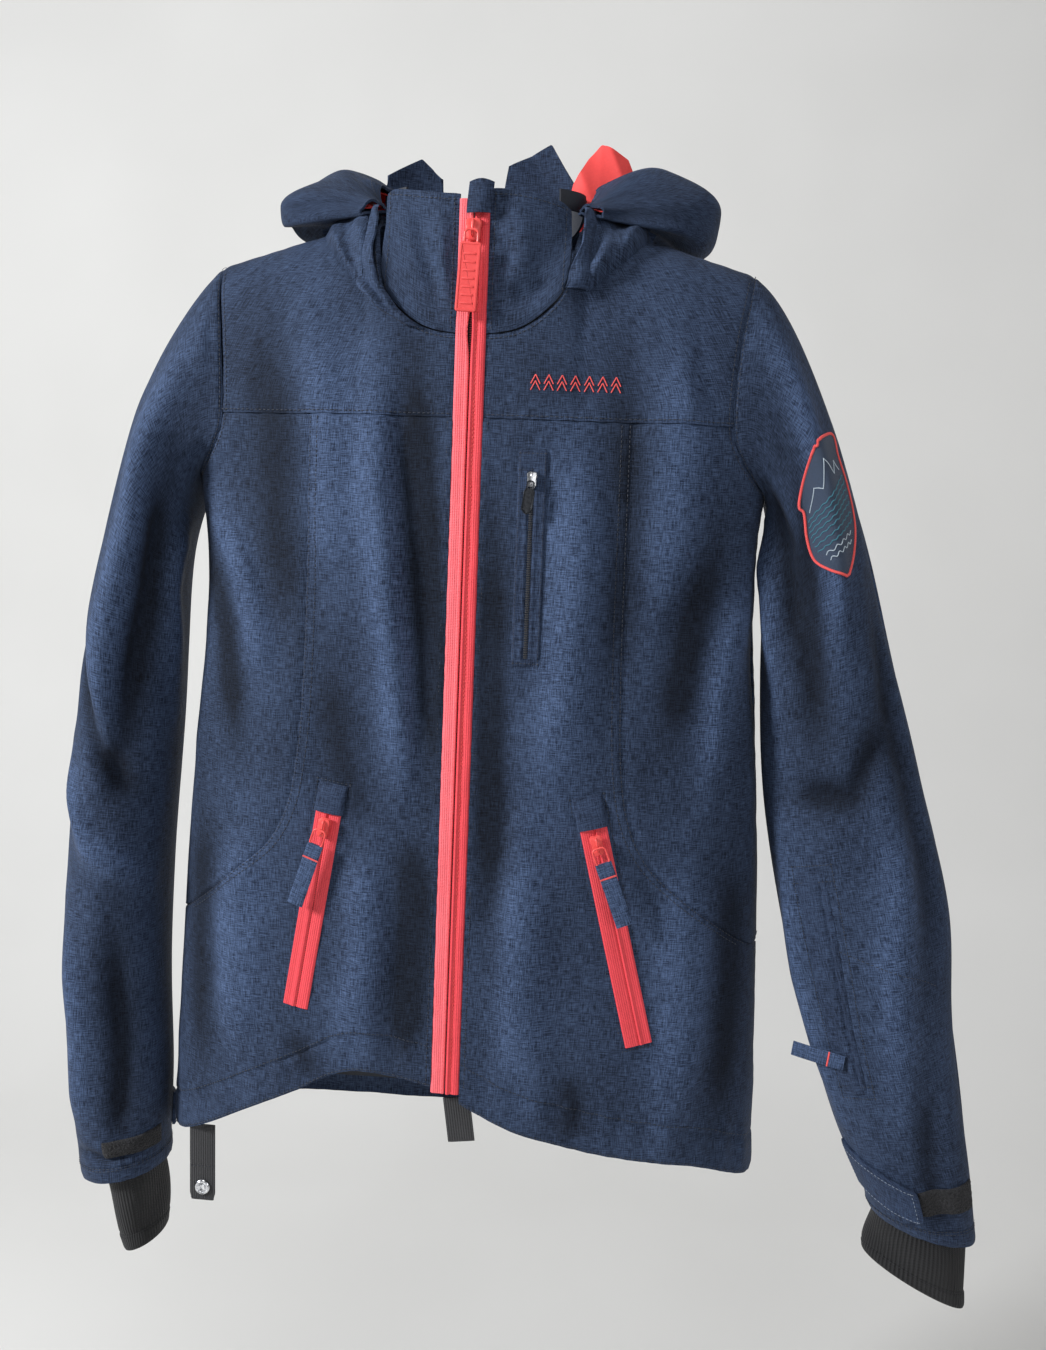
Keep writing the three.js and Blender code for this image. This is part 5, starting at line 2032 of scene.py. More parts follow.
@dataclass
class HandPocket:
    """A slanted hand pocket with a coral zip and a cloth puller."""

    finishes: Finishes
    side: Side
    top: tuple[float, float]
    foot: tuple[float, float]
    lean: float
    tape: float = 19.0
    box_half: float = 12.2
    box_above: float = 22.0
    box_below: float = 2.6
    strap_half: float = 5.9

    def along(self, t: float) -> tuple[float, float]:
        """Gives a place on the pocket's line."""
        return lerp(self.top[0], self.foot[0], t), lerp(self.top[1], self.foot[1], t)

    def make(self) -> None:
        """Builds the tapes, the coil, the garage, the slider and the puller."""
        word = self.side.word
        tilt = math.atan2(self.foot[0] - self.top[0], self.top[1] - self.foot[1])

        def tape_face(u: Array, v: Array) -> Array:
            """Gives the tapes a dark parting, with a fold beside it on one side."""
            w = u * self.side.value
            gap = -0.9 * crest(u - 0.06, 0.045)
            ridge = 0.75 * crest(w + 0.06 - 0.26, 0.16) + 0.25 * crest(w + 0.5, 0.3)
            rim = -0.7 * crest(1 - np.abs(u), 0.06)
            return 1.15 + gap + ridge + rim
        made = band(f"pocket_tapes_{word}", FRONT, [self.along(0), self.along(1)], self.tape, tape_face, 1.0,
                    self.finishes["coral_tape"], 44, 110)
        finish_piece(made, "coral_tape", "jacket", f"pocket_tape_{word}")
        coil = Row(f"pocket_coil_{word}", 1.4, (0.9, 1.5, 0.8))
        t = np.linspace(0.04, 0.985, 120)
        a, b = lerp(self.top[0], self.foot[0], t), lerp(self.top[1], self.foot[1], t)
        coil.on(FRONT, a + 0.06 * self.tape / 2 * math.cos(tilt), b + 0.06 * self.tape / 2 * math.sin(tilt),
            0.45)
        coil.make(self.finishes["zip_teeth_coral"], "jacket", "zip_teeth_coral", [f"pocket_chain_{word}"])

        def flap(u: Array, v: Array) -> Array:
            """Bows the garage over the slider's rest."""
            bow = 2.6 * (1 - u * u) ** 0.5 * smooth(v / 0.5)
            return 1.0 + bow - 0.9 * crest(1 - np.abs(u), 0.06) * (1 - 0.5 * v)
        made = band(f"pocket_flap_{word}", FRONT, [self.along(-0.14), self.along(0.006)], 21.4, flap, 1.2,
                    self.finishes["navy_trim"], 30, 26)
        finish_piece(made, "navy_trim", "jacket", f"pocket_garage_{word}")
        rows = Row(f"pocket_stitches_{word}", 2.8, (2.1, 0.55, 0.45))
        across, up = np.array((math.cos(tilt), math.sin(tilt))), np.array((-math.sin(tilt), math.cos(tilt)))
        middle_top, middle_foot = np.array(self.along(0)), np.array(self.along(1))
        wide, above, below = across * self.box_half, up * self.box_above, up * self.box_below
        corners = [middle_top + wide + above, middle_foot + wide - below,
                   middle_foot - wide - below, middle_top - wide + above]
        corners.append(corners[0])
        for start, end in zip(corners[:-1], corners[1:]):
            t = np.linspace(0, 1, max(6, int(np.linalg.norm(end - start) / 2)))
            rows.on(FRONT, lerp(start[0], end[0], t), lerp(start[1], end[1], t), 0.2)
        rows.make(self.finishes["navy_thread"], "jacket", "navy_trim")
        x, z = self.along(0.075)
        parts = Slider(9, 14, 5)
        at = seat(FRONT, x, z, 3.6, tilt)
        made = parts.shape(at).make(f"hand_slider_{word}", self.finishes["coral_metal"])
        finish_piece(made, "coral_metal", f"pocket_slider_body_{word}", f"pocket_slider_{word}")
        self.puller(seat(FRONT, x, z, 10.6, self.lean), parts)

    def puller(self, hung: Array, parts: Slider) -> None:
        """Makes the folded cloth strap with its bar of coral stitches.

        Args:
            hung: the place of its pivot.
            parts: the slider that it hangs from.
        """
        word, body = self.side.word, f"pocket_puller_body_{self.side.word}"
        v, u = grid(shares(40), np.linspace(-1, 1, 12))
        y = lerp(-12.0, -59.2, v)
        bow = 1.1 * np.sin(math.pi * v) - 0.9 * v
        pinch = 0.55 * crest(y + 23.0, 1.6)
        edge = 0.7 * np.abs(u) ** 6
        face = np.stack([u * self.strap_half, y, 0.9 + bow * 0.4 - pinch - edge], -1)
        under = np.stack([u * self.strap_half, y, -0.9 + bow * 0.4 + pinch * 0.4 + edge], -1)
        made = wall(f"hand_puller_{word}", moved(face, hung), moved(under, hung),
            np.stack([u * self.strap_half, y], -1), self.finishes["navy_shell"])
        # painted light: the strap is set to the lightest level so that it shows lighter than the cloth around
        # it
        paint_fold_shade(made.data, np.full(len(made.data.vertices), 1.0))
        finish_piece(made, "navy_shell", body, f"pocket_puller_{word}")
        bail = Shape()
        bail.add(*wire(parts.ring(13.4, -1.0, 9.4), 0.7, closed=True), at=hung)
        finish_piece(bail.make(f"hand_bail_{word}", self.finishes["coral_metal"]), "coral_metal", body)
        bar = Row(f"hand_bartack_{word}", 0.55, (0.8, 1.5, 0.7))
        x = np.linspace(-5.7, 5.7, 30)
        line = moved(np.stack([x, np.full(30, -23.0), np.full(30, 0.75)], -1), hung)
        bar.line(line, np.tile(hung[:3, 2], (30, 1)))
        bar.make(self.finishes["coral_thread"], body, "coral_thread")


# ---- Sleeves --------------------------------------------------------------------------------------


@dataclass
class Sleeve:
    """One sleeve with its lining, knitted gaiter, cuff tab and loop patch."""

    finishes: Finishes
    side: Side
    gaiters: dict = field(default_factory=lambda: {
        Side.RIGHT: ((288, -694, 241, -694, 30), (277, -738, 233.5, -733, 29), (264, -789, 233, -776, 26)),
        Side.LEFT: ((381, -688, 322, -688, 22), (387, -728, 314, -714, 21), (389, -777, 312, -737, 19))})

    @property
    def skin(self) -> SleeveSkin:
        """The sleeve's surface."""
        return ARMS[self.side]

    @property
    def body(self) -> str:
        """The CAD body of the sleeve."""
        return f"{self.side.word}_sleeve"

    def bend(self, made: bpy.types.Object) -> None:
        """Bakes a piece's placement into its mesh."""
        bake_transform(made)

    def cloth(self) -> None:
        """Makes the sleeve's shell, its lining and its seams."""
        word = self.side.word
        v, u = grid(shares(230), around(130))
        hem = -0.8 * crest(v - 0.955, 0.004)
        made = Panel(f"sleeve_{word}", self.skin, u, v, 2.2, edges=Edges(0, 0, 1.5, 0.7), lift=hem,
            closed=True).make(
            self.finishes, "", [f"sleeve_front_{word}", f"sleeve_back_{word}"])
        self.bend(made)
        v, u = grid(np.linspace(0.05, 0.955, 70), around(48))
        made = Panel(f"sleeve_lining_cloth_{word}", self.skin, u, v, 1.0, "dark_lining", NO_SEAM, closed=True,
                     depth=4.6).make(self.finishes, "", [f"sleeve_lining_{word}"])
        self.bend(made)
        rows = Row(f"sleeve_stitches_{word}", 3.3, (2.5, 0.62, 0.5))
        turn = np.linspace(0.05, TAU - 0.05, 220)
        rows.on(self.skin, turn, np.full(220, 0.955))
        rows.on(self.skin, turn, np.full(220, 0.962))
        rows.on(self.skin, turn, np.full(220, 0.035))
        if self.side is Side.LEFT:
            t = shares(60)
            rows.on(self.skin, lerp(0.75, 2.35, t), lerp(0.665, 0.60, t))
        made = rows.make(self.finishes["navy_thread"], "", "navy_trim")
        self.bend(made)

    def gaiter(self) -> None:
        """Makes the stretch gaiter with its hem and thumb seam."""
        rings = self.gaiters[self.side]
        s, word = self.side.value, self.side.word
        outer = Rail([(s * r[0], 0, r[1]) for r in rings])
        inner = Rail([(s * r[2], 0, r[3]) for r in rings])
        depth = Rail([(r[4], 0, 0) for r in rings])
        middle = SleeveSkin.RINGS[self.side][10][5] - 1
        v, u = grid(shares(70), around(120))
        o, i = outer(v), inner(v)
        point = (o + i) / 2 + (o - i) / 2 * np.cos(u)[..., None]
        point[..., 1] = middle - depth(v)[..., 0] * np.sin(u)
        normals = grid_normals(point, True)
        if float((normals * (point - (o + i) / 2 - (0, middle, 0))).sum()) < 0:
            normals = -normals
        creases = (1.1 * np.sin(3 * u + 5 * v) * smooth(v / 0.3) * smooth((1 - v) / 0.2)
            + 0.5 * np.sin(9 * v + 2 * u))
        hem = 0.5 * smooth((v - 0.865) / 0.01) - 0.7 * crest(v - 0.86, 0.012)
        face = point + normals * (creases + hem - 0.6 * crest(1 - v, 0.012))[..., None]
        across, down = runs(point, 1), runs(point, 0)
        end = across[:, -1:] + np.linalg.norm(point[:, :1] - point[:, -1:], axis=-1)
        across, down = np.hstack([across, end]), np.hstack([down, down[:, :1]])
        share = np.linspace(0, 1, across.shape[1])[None] * across[:, -1:].mean()
        cuts = np.stack([share + 0 * across, -down], -1)
        made = wall(f"wrist_gaiter_{word}", face, face - normals * 1.3, cuts, self.finishes["black_knit"],
            True)
        finish_piece(made, "black_knit", self.body, f"gaiter_{word}")
        rows = Row(f"gaiter_stitches_{word}", 2.2, (1.7, 0.6, 0.5))
        keep = np.arange(0, 120)
        rows.line(face[60, keep], normals[60, keep])
        rows.line(face[6:60, 37 if s < 0 else 45], normals[6:60, 37 if s < 0 else 45])
        rows.make(self.finishes["black_webbing"], self.body, "black_webbing")

    def patch(self, name: str, turns: tuple[float, float], stations: tuple[float, float], thick: float,
              rise: Callable[[Array, Array], Array], slot: str,
              narrow: Optional[Callable[[Array], Array]] = None,
              size: tuple[int, int] = (36, 28)) -> bpy.types.Object:
        """Makes a patch that lies on the folded sleeve.

        Args:
            name: the piece's name.
            turns: its first and last turn.
            stations: its first and last station.
            thick: its thickness.
            rise: how high its face stands, by place across from -1 to 1 and along from 0 to 1.
            slot: its finish.
            narrow: its share of the full width, by place along; all of it where left out.
            size: how finely it is divided.

        Returns:
            The object.
        """
        v, u = grid(np.linspace(0, 1, size[1]), np.linspace(-1, 1, size[0]))
        turn = (turns[0] + turns[1]) / 2 + (turns[1] - turns[0]) / 2 * u * (narrow(v) if narrow else 1.0)
        t = lerp(stations[0], stations[1], v)
        base, normals = self.skin.base(turn, t), self.skin.normal(turn, t)
        outer = base + normals * (self.skin.relief(turn, t) + rise(u, v))[..., None]
        across, down = runs(outer, 1), runs(outer, 0)
        cuts = np.stack([across - across[:, across.shape[1] // 2, None], -down], -1)
        return wall(name, outer, outer - normals * thick, cuts, self.finishes[slot])

    def cuff(self) -> None:
        """Makes the loop patch and the cuff tab."""
        word, s = self.side.word, self.side.value
        turns, stations = ((1.55, 2.85), (0.885, 0.925)) if s < 0 else ((0.35, 1.62), (0.868, 0.906))
        pile = Ripple(5, 2.0, 5.0, 0.22)

        def fuzz(u: Array, v: Array) -> Array:
            """Gives the pile's uneven top."""
            edge = np.minimum(1 - np.abs(u), np.minimum(v, 1 - v) * 2)
            return 2.0 + pile.lift(u * 28, v * 28) - 1.2 * np.exp(-edge / 0.05)
        made = self.patch(f"cuff_loop_{word}", turns, stations, 1.5, fuzz, "black_loop", size=(90, 40))
        finish_piece(made, "black_loop", self.body, f"loop_patch_{word}")
        turns, stations = ((3.5, 4.4), (0.86, 0.93)) if s < 0 else ((1.62, 2.95), (0.838, 0.902))
        lean = 0.0 if s < 0 else 0.052

        def tab(u: Array, v: Array) -> Array:
            """Gives the tab's puffed face."""
            edge = np.minimum(1 - np.abs(u), np.minimum(v, 1 - v) * 2)
            lift = 2.6 * smooth((0.2 - u) / 1.2) if s > 0 else 0.4
            return 2.9 + lift - 1.1 * np.exp(-edge / 0.06) + 0.3 * crest(edge - 0.2, 0.06)
        v, u = grid(shares(40), np.linspace(-1, 1, 56))
        corner = 1 - 0.10 * np.abs(2 * v - 1) ** 6
        turn = (turns[0] + turns[1]) / 2 + (turns[1] - turns[0]) / 2 * u * corner
        t = lerp(stations[0], stations[1], v) - lean * (u + 0.1) * 0.5
        outer = self.skin.at(turn, t, tab(u, v))
        normals = self.skin.normal(turn, t)
        cuts = np.stack([runs(outer, 1), -runs(outer, 0)], -1)
        made = wall(f"cuff_strap_{word}", outer, outer - normals * 1.9, cuts, self.finishes["navy_trim"])
        finish_piece(made, "navy_trim", f"{word}_cuff_tab", f"cuff_tab_{word}")
        rows = Row(f"cuff_strap_stitches_{word}", 2.8, (2.1, 0.55, 0.45))
        for row in (4, 35):
            rows.line(outer[row, 3:-3], normals[row, 3:-3])
        for column in (4, 51):
            rows.line(outer[4:36, column], normals[4:36, column])
        rows.make(self.finishes["grey_thread" if s > 0 else "navy_thread"], f"{word}_cuff_tab", "navy_trim")

    def make(self) -> None:
        """Builds the sleeve."""
        self.cloth()
        self.gaiter()
        self.cuff()


@dataclass
class SleeveExtras:
    """The badge and the forearm pocket of the left sleeve."""

    sleeve: Sleeve

    def badge(self) -> None:
        """Makes the shield with its stitched border and plain pattern of peaks and bars."""
        skin, finishes = self.sleeve.skin, self.sleeve.finishes
        share = Through([(0, 0.14), (0.05, 0.52), (0.10, 0.90), (0.14, 1.0), (0.22, 0.88), (0.45, 0.94),
                         (0.7, 0.82), (0.88, 0.46), (1, 0.05)])
        turns, stations = (0.52, 1.72), (0.188, 0.316)

        def face(u: Array, v: Array) -> Array:
            """Rounds the rim of the shield."""
            rim = 0.5 * np.exp(-((1 - np.abs(u)) / 0.05)) + 0.4 * np.exp(-(np.minimum(v, 1 - v) / 0.02))
            return 0.95 - rim
        made = self.sleeve.patch("badge_ground", turns, stations, 0.9, face, "badge", share, (40, 60))
        finish_piece(made, "badge", "", "sleeve_badge")
        self.sleeve.bend(made)
        middle, half = sum(turns) / 2, (turns[1] - turns[0]) / 2

        def spot(u: Array, v: Array) -> tuple[Array, Array]:
            """Turns places on the shield into the sleeve's coordinates."""
            u, v = np.broadcast_arrays(np.asarray(u, float), np.asarray(v, float))
            return middle + half * u * share(v), lerp(stations[0], stations[1], v)
        border = Row("badge_border", 0.62, (0.9, 2.3, 1.1))
        v = shares(120)
        rim = 0.98
        u = np.concatenate([np.full(120, -rim), np.linspace(-rim, rim, 16), np.full(120, rim),
                            np.linspace(rim, -rim, 40)])
        crown = np.zeros(16) + 0.008 * np.cos(np.linspace(-6.28, 6.28, 16))
        w = np.concatenate([v[::-1], crown, v, np.full(40, 1.0)])
        border.on(skin, *spot(u, w), 1.1)
        self.sleeve.bend(border.make(finishes["coral_thread"], "", "coral_thread"))
        peaks = Row("badge_peaks", 0.7, (1.0, 0.8, 0.6))
        tops = ((-0.72, 0.30), (-0.50, 0.20), (-0.34, 0.26), (-0.05, 0.10), (0.20, 0.25), (0.40, 0.18),
                (0.72, 0.30))
        for a, b in zip(tops[:-1], tops[1:]):
            t = shares(14)
            peaks.on(skin, *spot(lerp(a[0], b[0], t), lerp(a[1], b[1], t)), 1.15)
        for level in (0.74, 0.80):
            u = np.linspace(-0.6, 0.6, 60)
            peaks.on(skin, *spot(u, level + 0.012 * np.sin(u * 22)), 1.1)
        self.sleeve.bend(peaks.make(finishes["pale_thread"], "", "badge"))
        bars = Row("badge_bars", 0.7, (1.1, 1.0, 0.6))
        for level in (0.36, 0.41, 0.46, 0.51, 0.56, 0.62, 0.68):
            reach = 0.82 - 0.3 * abs(level - 0.46)
            u = np.linspace(-reach, reach, 50)
            bars.on(skin, *spot(u, level + 0.006 * np.sin(u * 30 + level * 40)), 1.1)
        self.sleeve.bend(bars.make(finishes["teal_thread"], "", "badge"))

    def pocket(self) -> None:
        """Makes the forearm pocket's welt, its stitched ends and the strap that pulls its zip."""
        skin, finishes = self.sleeve.skin, self.sleeve.finishes
        turn, start, end, half = 2.2, 0.55, 0.752, 0.2

        def face(u: Array, v: Array) -> Array:
            """Raises the welt's fold above its slit."""
            slit = -1.1 * crest(u + 0.55, 0.10) * smooth((v - 0.03) / 0.02) * smooth((0.97 - v) / 0.02)
            return (1.1 + 0.7 * crest(u + 0.15, 0.35) + slit - 0.8 * np.exp(-((1 - np.abs(u)) / 0.1))
                - 0.8 * np.exp(-(np.minimum(v, 1 - v) / 0.012)))
        made = self.sleeve.patch("forearm_welt", (turn - half, turn + half), (start, end), 1.0, face,
            "navy_trim", size=(30, 90))
        finish_piece(made, "navy_trim", self.sleeve.body, "sleeve_pocket_welt")
        rows = Row("forearm_stitches", 2.6, (2.0, 0.6, 0.5))
        across = np.linspace(turn - half * 1.5, turn + half * 1.15, 20)
        for t in (start - 0.004, start + 0.008, end - 0.008, end + 0.004):
            rows.on(skin, across, np.full(20, t), 0.9 if start < t < end else 0.2)
        for a in (turn - half * 1.5, turn + half * 1.15):
            rows.on(skin, np.full(70, a), np.linspace(start - 0.004, end + 0.004, 70), 0.2)
        rows.make(finishes["navy_thread"], self.sleeve.body, "navy_trim")
        root = skin.base(np.array(turn + 0.06), np.array(0.72))
        turn_z, turn_y = -0.3, 0.12
        spin = np.array(Matrix.Rotation(turn_y, 4, "Y") @ Matrix.Rotation(turn_z, 4, "Z"))
        place = shift(root[0], root[1] - 4.2, root[2]) @ spin
        v, u = grid(shares(44), np.linspace(-1, 1, 12))
        x = -38.0 * v
        pinch = 0.45 * crest(x + 11.5, 1.5)
        edge = 0.5 * np.abs(u) ** 6
        bow = 0.5 * np.sin(math.pi * v)
        top = moved(np.stack([x, -0.75 - bow + pinch + edge, u * 5.4], -1), place)
        under = moved(np.stack([x, 0.75 - bow - pinch * 0.4 - edge, u * 5.4], -1), place)
        made = wall("forearm_strap", top, under, np.stack([u * 5.4, x], -1), finishes["navy_shell"])
        # painted light: the strap is set near the lightest level so that it shows lighter than the sleeve
        paint_fold_shade(made.data, np.full(len(made.data.vertices), 0.9))
        finish_piece(made, "navy_shell", "sleeve_strap", "sleeve_pocket_puller")
        bar = Row("forearm_bartack", 0.55, (0.8, 1.5, 0.7))
        z = np.linspace(-5.2, 5.2, 28)
        line = np.stack([np.full(28, -11.5), np.full(28, -0.85), z], -1)
        bar.line(moved(line, place), np.tile(-place[:3, 1], (28, 1)))
        bar.make(finishes["coral_thread"], "sleeve_strap", "coral_thread")

    def make(self) -> None:
        """Builds the extras."""
        self.badge()
        self.pocket()


# ---- Hood -----------------------------------------------------------------------------------------


class HoodSkin(Skin):
    """The hood as it lies behind the collar, read by its turn round the neck and its run from 0 to 1."""

    START = math.radians(62)
    BACK_RUN = ((1, 8), (8, -60), (26, -150), (58, -145), (74, -60), (62, 10), (40, 42))
    SIDE_RUN = ((2, 10), (14, 12), (44, 6), (80, 0), (84, 22), (40, 47), (2, 34))
    waves = Ripple(41, 30, 80, 1.2)

    def steps(self) -> tuple[float, float]:
        """Gives the small steps that are used to find the normal."""
        return 0.01, 0.004

    def base(self, a: Array, b: Array) -> Array:
        """Gives the points of the hood."""
        a, b = np.broadcast_arrays(np.asarray(a, float), np.clip(np.asarray(b, float), 0, 1))
        off = np.abs(np.degrees(a) - 180)
        share = smooth((off - 8) / 62)
        taper = lerp(0.25, 1, smooth((118 - off) / 34))
        points = []
        for back, side in zip(self.BACK_RUN, self.SIDE_RUN):
            out = lerp(back[0], side[0], share)
            height = lerp(back[1], side[1], share)
            points.append(np.stack([out * taper, lerp(6, height, taper)], -1))
        points = [2 * points[0] - points[1]] + points + [2 * points[-1] - points[-2]]
        stack = np.stack(points)
        spot = b * 6
        i = np.clip(spot.astype(int), 0, 5)
        near = (np.take_along_axis(stack, (i + k)[None, ..., None], axis=0)[0] for k in range(4))
        run = between(*near, (spot - i)[..., None])
        x = (76 + run[..., 0]) * np.sin(a)
        y = -(52 + run[..., 0]) * np.cos(a)
        z = run[..., 1]
        rest = TORSO.back_depth(z) * TORSO.fullness(x, np.minimum(z, TORSO.shoulder(x))) + 5
        y = np.where((y > 0) & (np.abs(x) < 190), np.maximum(y, rest * smooth(y / 30)), y)
        return np.stack([x, y, z], -1)

    def relief(self, a: Array, b: Array) -> Array:
        """Gives the soft crumples of the hood."""
        a, b = both(a, b)
        scale = (90.0, 260.0)
        folds = (
            Fold(((1.5, 0.3), (1.8, 0.5), (1.7, 0.8)), 12, 3.0, scale),
            Fold(((1.9, 0.2), (2.2, 0.5), (2.1, 0.9)), 12, -2.6, scale),
            Fold(((2.6, 0.3), (2.9, 0.6), (2.8, 0.95)), 16, 3.0, scale),
            Fold(((3.3, 0.2), (3.5, 0.6), (3.4, 0.95)), 16, -3.0, scale),
            Fold(((4.0, 0.2), (4.1, 0.5), (4.2, 0.9)), 12, 2.8, scale),
            Fold(((4.5, 0.3), (4.6, 0.6), (4.7, 0.9)), 12, -2.6, scale))
        lift = sum(f.lift(a, b) for f in folds) + self.waves.lift(a * 90, b * 260)
        return lift * smooth(b / 0.25) * smooth((1 - b) / 0.06)


HOOD = HoodSkin()


@dataclass
class Hood:
    """The hood's shell, its coral lining and the crumpled brim behind the neck."""

    finishes: Finishes
    brim: tuple[tuple[float, float], ...] = (
        (-82, 24), (-80, 47), (-58, 62), (-42, 48), (-42, 36), (-30, 30), (3, 29), (8, 58), (40, 73.5),
        (50, 57), (59, 43), (66, 30))

    def bend(self, made: bpy.types.Object) -> None:
        """Bakes a piece's placement into its mesh."""
        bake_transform(made)

    def cloth(self) -> None:
        """Makes the shell and the lining."""
        v, u = grid(shares(120), np.linspace(HOOD.START, TAU - HOOD.START, 190))
        seams = -0.9 * crest(np.minimum(np.abs(u - 2.55), np.abs(u - 3.73)), 0.012) * smooth(v / 0.1)
        made = Panel("hood_cloth", HOOD, u, v, 1.7, edges=Edges(0.6, 0.6, 0.8, 0.8), lift=seams).make(
            self.finishes, "", ["hood_shell"], "gathered")
        self.bend(made)
        v, u = grid(np.linspace(0.04, 0.97, 90), np.linspace(HOOD.START + 0.08, TAU - HOOD.START - 0.08, 130))
        made = Panel("hood_lining_cloth", HOOD, u, v, 0.9, "coral_lining", NO_SEAM, depth=5.0).make(
            self.finishes, "", ["hood_lining"], "gathered")
        self.bend(made)
        rows = Row("hood_stitches", 3.2, (2.4, 0.6, 0.5))
        turn = np.linspace(HOOD.START + 0.05, TAU - HOOD.START - 0.05, 260)
        rows.on(HOOD, turn, np.full(260, 0.965))
        for a in (2.50, 3.78):
            rows.on(HOOD, np.full(90, a), np.linspace(0.12, 0.95, 90))
        made = rows.make(self.finishes["navy_thread"], "", "navy_trim")
        self.bend(made)

    def wings(self) -> None:
        """Makes the gathered ends of the hood that lie between the collar and the shoulder seam."""
        v, u = grid(shares(70), shares(50))
        for side in Side:
            s, low = side.value, -74.0 if side is Side.RIGHT else -46.0
            z = lerp(12, low, v)
            inner = np.interp(z, (-76, -63, -45, -16, 12), (34, 50, 63, 69, 71))
            outer = np.interp(z, (-76, -60, -30, 0, 12), (42, 66, 94, 120, 126))
            x = s * lerp(inner, np.maximum(outer, inner + 1.5), u)
            crumple = 2.2 * np.sin(u * 7 + v * 4 + 0.8 * s) * smooth(v / 0.2) + 1.6 * np.sin(u * 13 - v * 9)
            rise = (5.0 + (crumple + 4.0 * np.sin(math.pi * u)) * smooth((1 - v) / 0.3)
                - 4.2 * smooth((u - 0.75) / 0.25))
            z = z - 3.0 * u * smooth((1 - v) / 0.2)
            Panel(f"hood_end_{side.word}", FRONT, x, np.minimum(z, TORSO.shoulder(x) + 6), 1.4, lift=rise,
                folded=0.4).make(
                self.finishes, "jacket", [], "gathered")
        v, u = grid(shares(36), shares(40))
        x = lerp(60, 108, u) - 5 * v
        top = np.interp(x, (58, 70, 79, 84, 98, 108), (34, 56, 66, 65, 57, 34))
        z = lerp(top, 20, v)
        y = 12 + 10 * u + 5.0 * np.abs(np.sin(x / 9.0 + z / 21.0)) * (1 - v) - 6 * v
        point = np.stack([x, y, z], -1)
        facing = grid_normals(point)
        made = wall("hood_lining_fold", point + facing * 0.6, point - facing * 0.6, np.stack([x, z], -1),
            self.finishes["coral_lining"])
        finish_piece(made, "coral_lining", "hood")

    def brim_piece(self) -> None:
        """Makes the crumpled brim that stands up behind the neck."""
        v, u = grid(shares(40), shares(150))
        x = lerp(-81, 65, u)
        z = lerp(np.interp(x, *np.array(self.brim).T), 21, v)
        y = 54 - 22 * (x / 82) ** 4 - 3 * v - 4.5 * np.abs(np.sin(x / 13.0 + z / 17.0 + 0.6)) * (1 - v)
        point = np.stack([x, y, z], -1)
        normals = grid_normals(point)
        cuts = np.stack([x, z], -1)
        made = wall("hood_brim_cloth", point + normals * 0.9, point - normals * 0.9, cuts,
            self.finishes["navy_trim"])
        finish_piece(made, "navy_trim", "hood", "hood_brim")

    def make(self) -> None:
        """Builds the hood."""
        self.cloth()
        self.wings()
        self.brim_piece()


# ---- Straps below the hem ---------------------------------------------------------------------------


@dataclass
class HemStraps:
    """The snap strap of the powder skirt and the small tab under the zip."""

    finishes: Finishes
    snap_x: float = -195.0
    top: float = -680.0

    def make(self) -> None:
        """Builds the strap, its snap and the tab."""
        start = (-0.5 - float(TORSO.front_depth(self.top)) * float(TORSO.fullness(self.snap_x, self.top))
            + 5.6 + 1.0 + 5.5)
        v, u = grid(shares(60), np.linspace(-1, 1, 16))
        z = lerp(self.top + 4, self.top - 58, v)
        foot = 1.2 * smooth((v - 0.9) / 0.1) * np.abs(u) ** 4
        x = self.snap_x + u * (10.0 - foot)
        edge = 0.35 * np.abs(u) ** 8
        fold = 0.25 * crest(v - 0.52, 0.02)
        face = np.stack([x, start - 0.8 + edge + fold, z], -1)
        under = np.stack([x, start + 0.8 - edge, z], -1)
        made = wall("snap_webbing", face, under, np.stack([u * 10, z], -1), self.finishes["black_webbing"])
        finish_piece(made, "black_webbing", "snap_strap_body", "snap_strap")
        rows = Row("snap_webbing_stitches", 2.6, (2.0, 0.6, 0.5))
        for z in (self.top - 30, self.top - 56):
            across = np.linspace(self.snap_x - 8.5, self.snap_x + 8.5, 20)
            rows.line(np.stack([across, np.full(20, start - 0.9), np.full(20, z)], -1), forward(20))
        rows.make(self.finishes["navy_thread"], "snap_strap_body", "navy_trim")
        snap = Shape()
        profile = [(6.1, 0.0), (6.25, 0.5), (5.9, 1.3), (5.0, 1.9), (4.0, 1.7), (3.5, 1.0), (3.1, 0.9),
            (2.9, 1.5), (2.2, 1.9), (1.0, 1.6), (0.6, 0.9)]
        middle = Matrix.Translation((self.snap_x, start - 0.7 - 0.3, self.top - 47))
        turn = np.array(middle @ Matrix.Rotation(math.radians(90), 4, "X"))
        snap.add(*turned(profile), at=turn)
        made = snap.make("snap_ring", self.finishes["chrome"])
        finish_piece(made, "chrome", "snap_strap_body", "snap")
        self.tab()

    def tab(self) -> None:
        """Makes the folded black tab that shows under the zip."""
        v, u = grid(shares(40), np.linspace(-1, 1, 14))
        x, z = u * 9.8, lerp(17, -17, v)
        edge = 0.3 * np.abs(u) ** 8 + 0.3 * smooth((v - 0.95) / 0.05)
        middle = Matrix.Translation((10, -float(TORSO.front_depth(-612)) + 6.5, -636))
        turn = np.array(middle @ Matrix.Rotation(-0.14, 4, "Y"))
        face, under = (moved(np.stack([x, y, z], -1), turn) for y in (-0.7 + edge, 0.7 - edge))
        made = wall("zip_foot_tab", face, under, np.stack([x, z], -1), self.finishes["black_webbing"])
        finish_piece(made, "black_webbing", "zip_tab_body", "zip_tab")


# ---- Studio ---------------------------------------------------------------------------------------


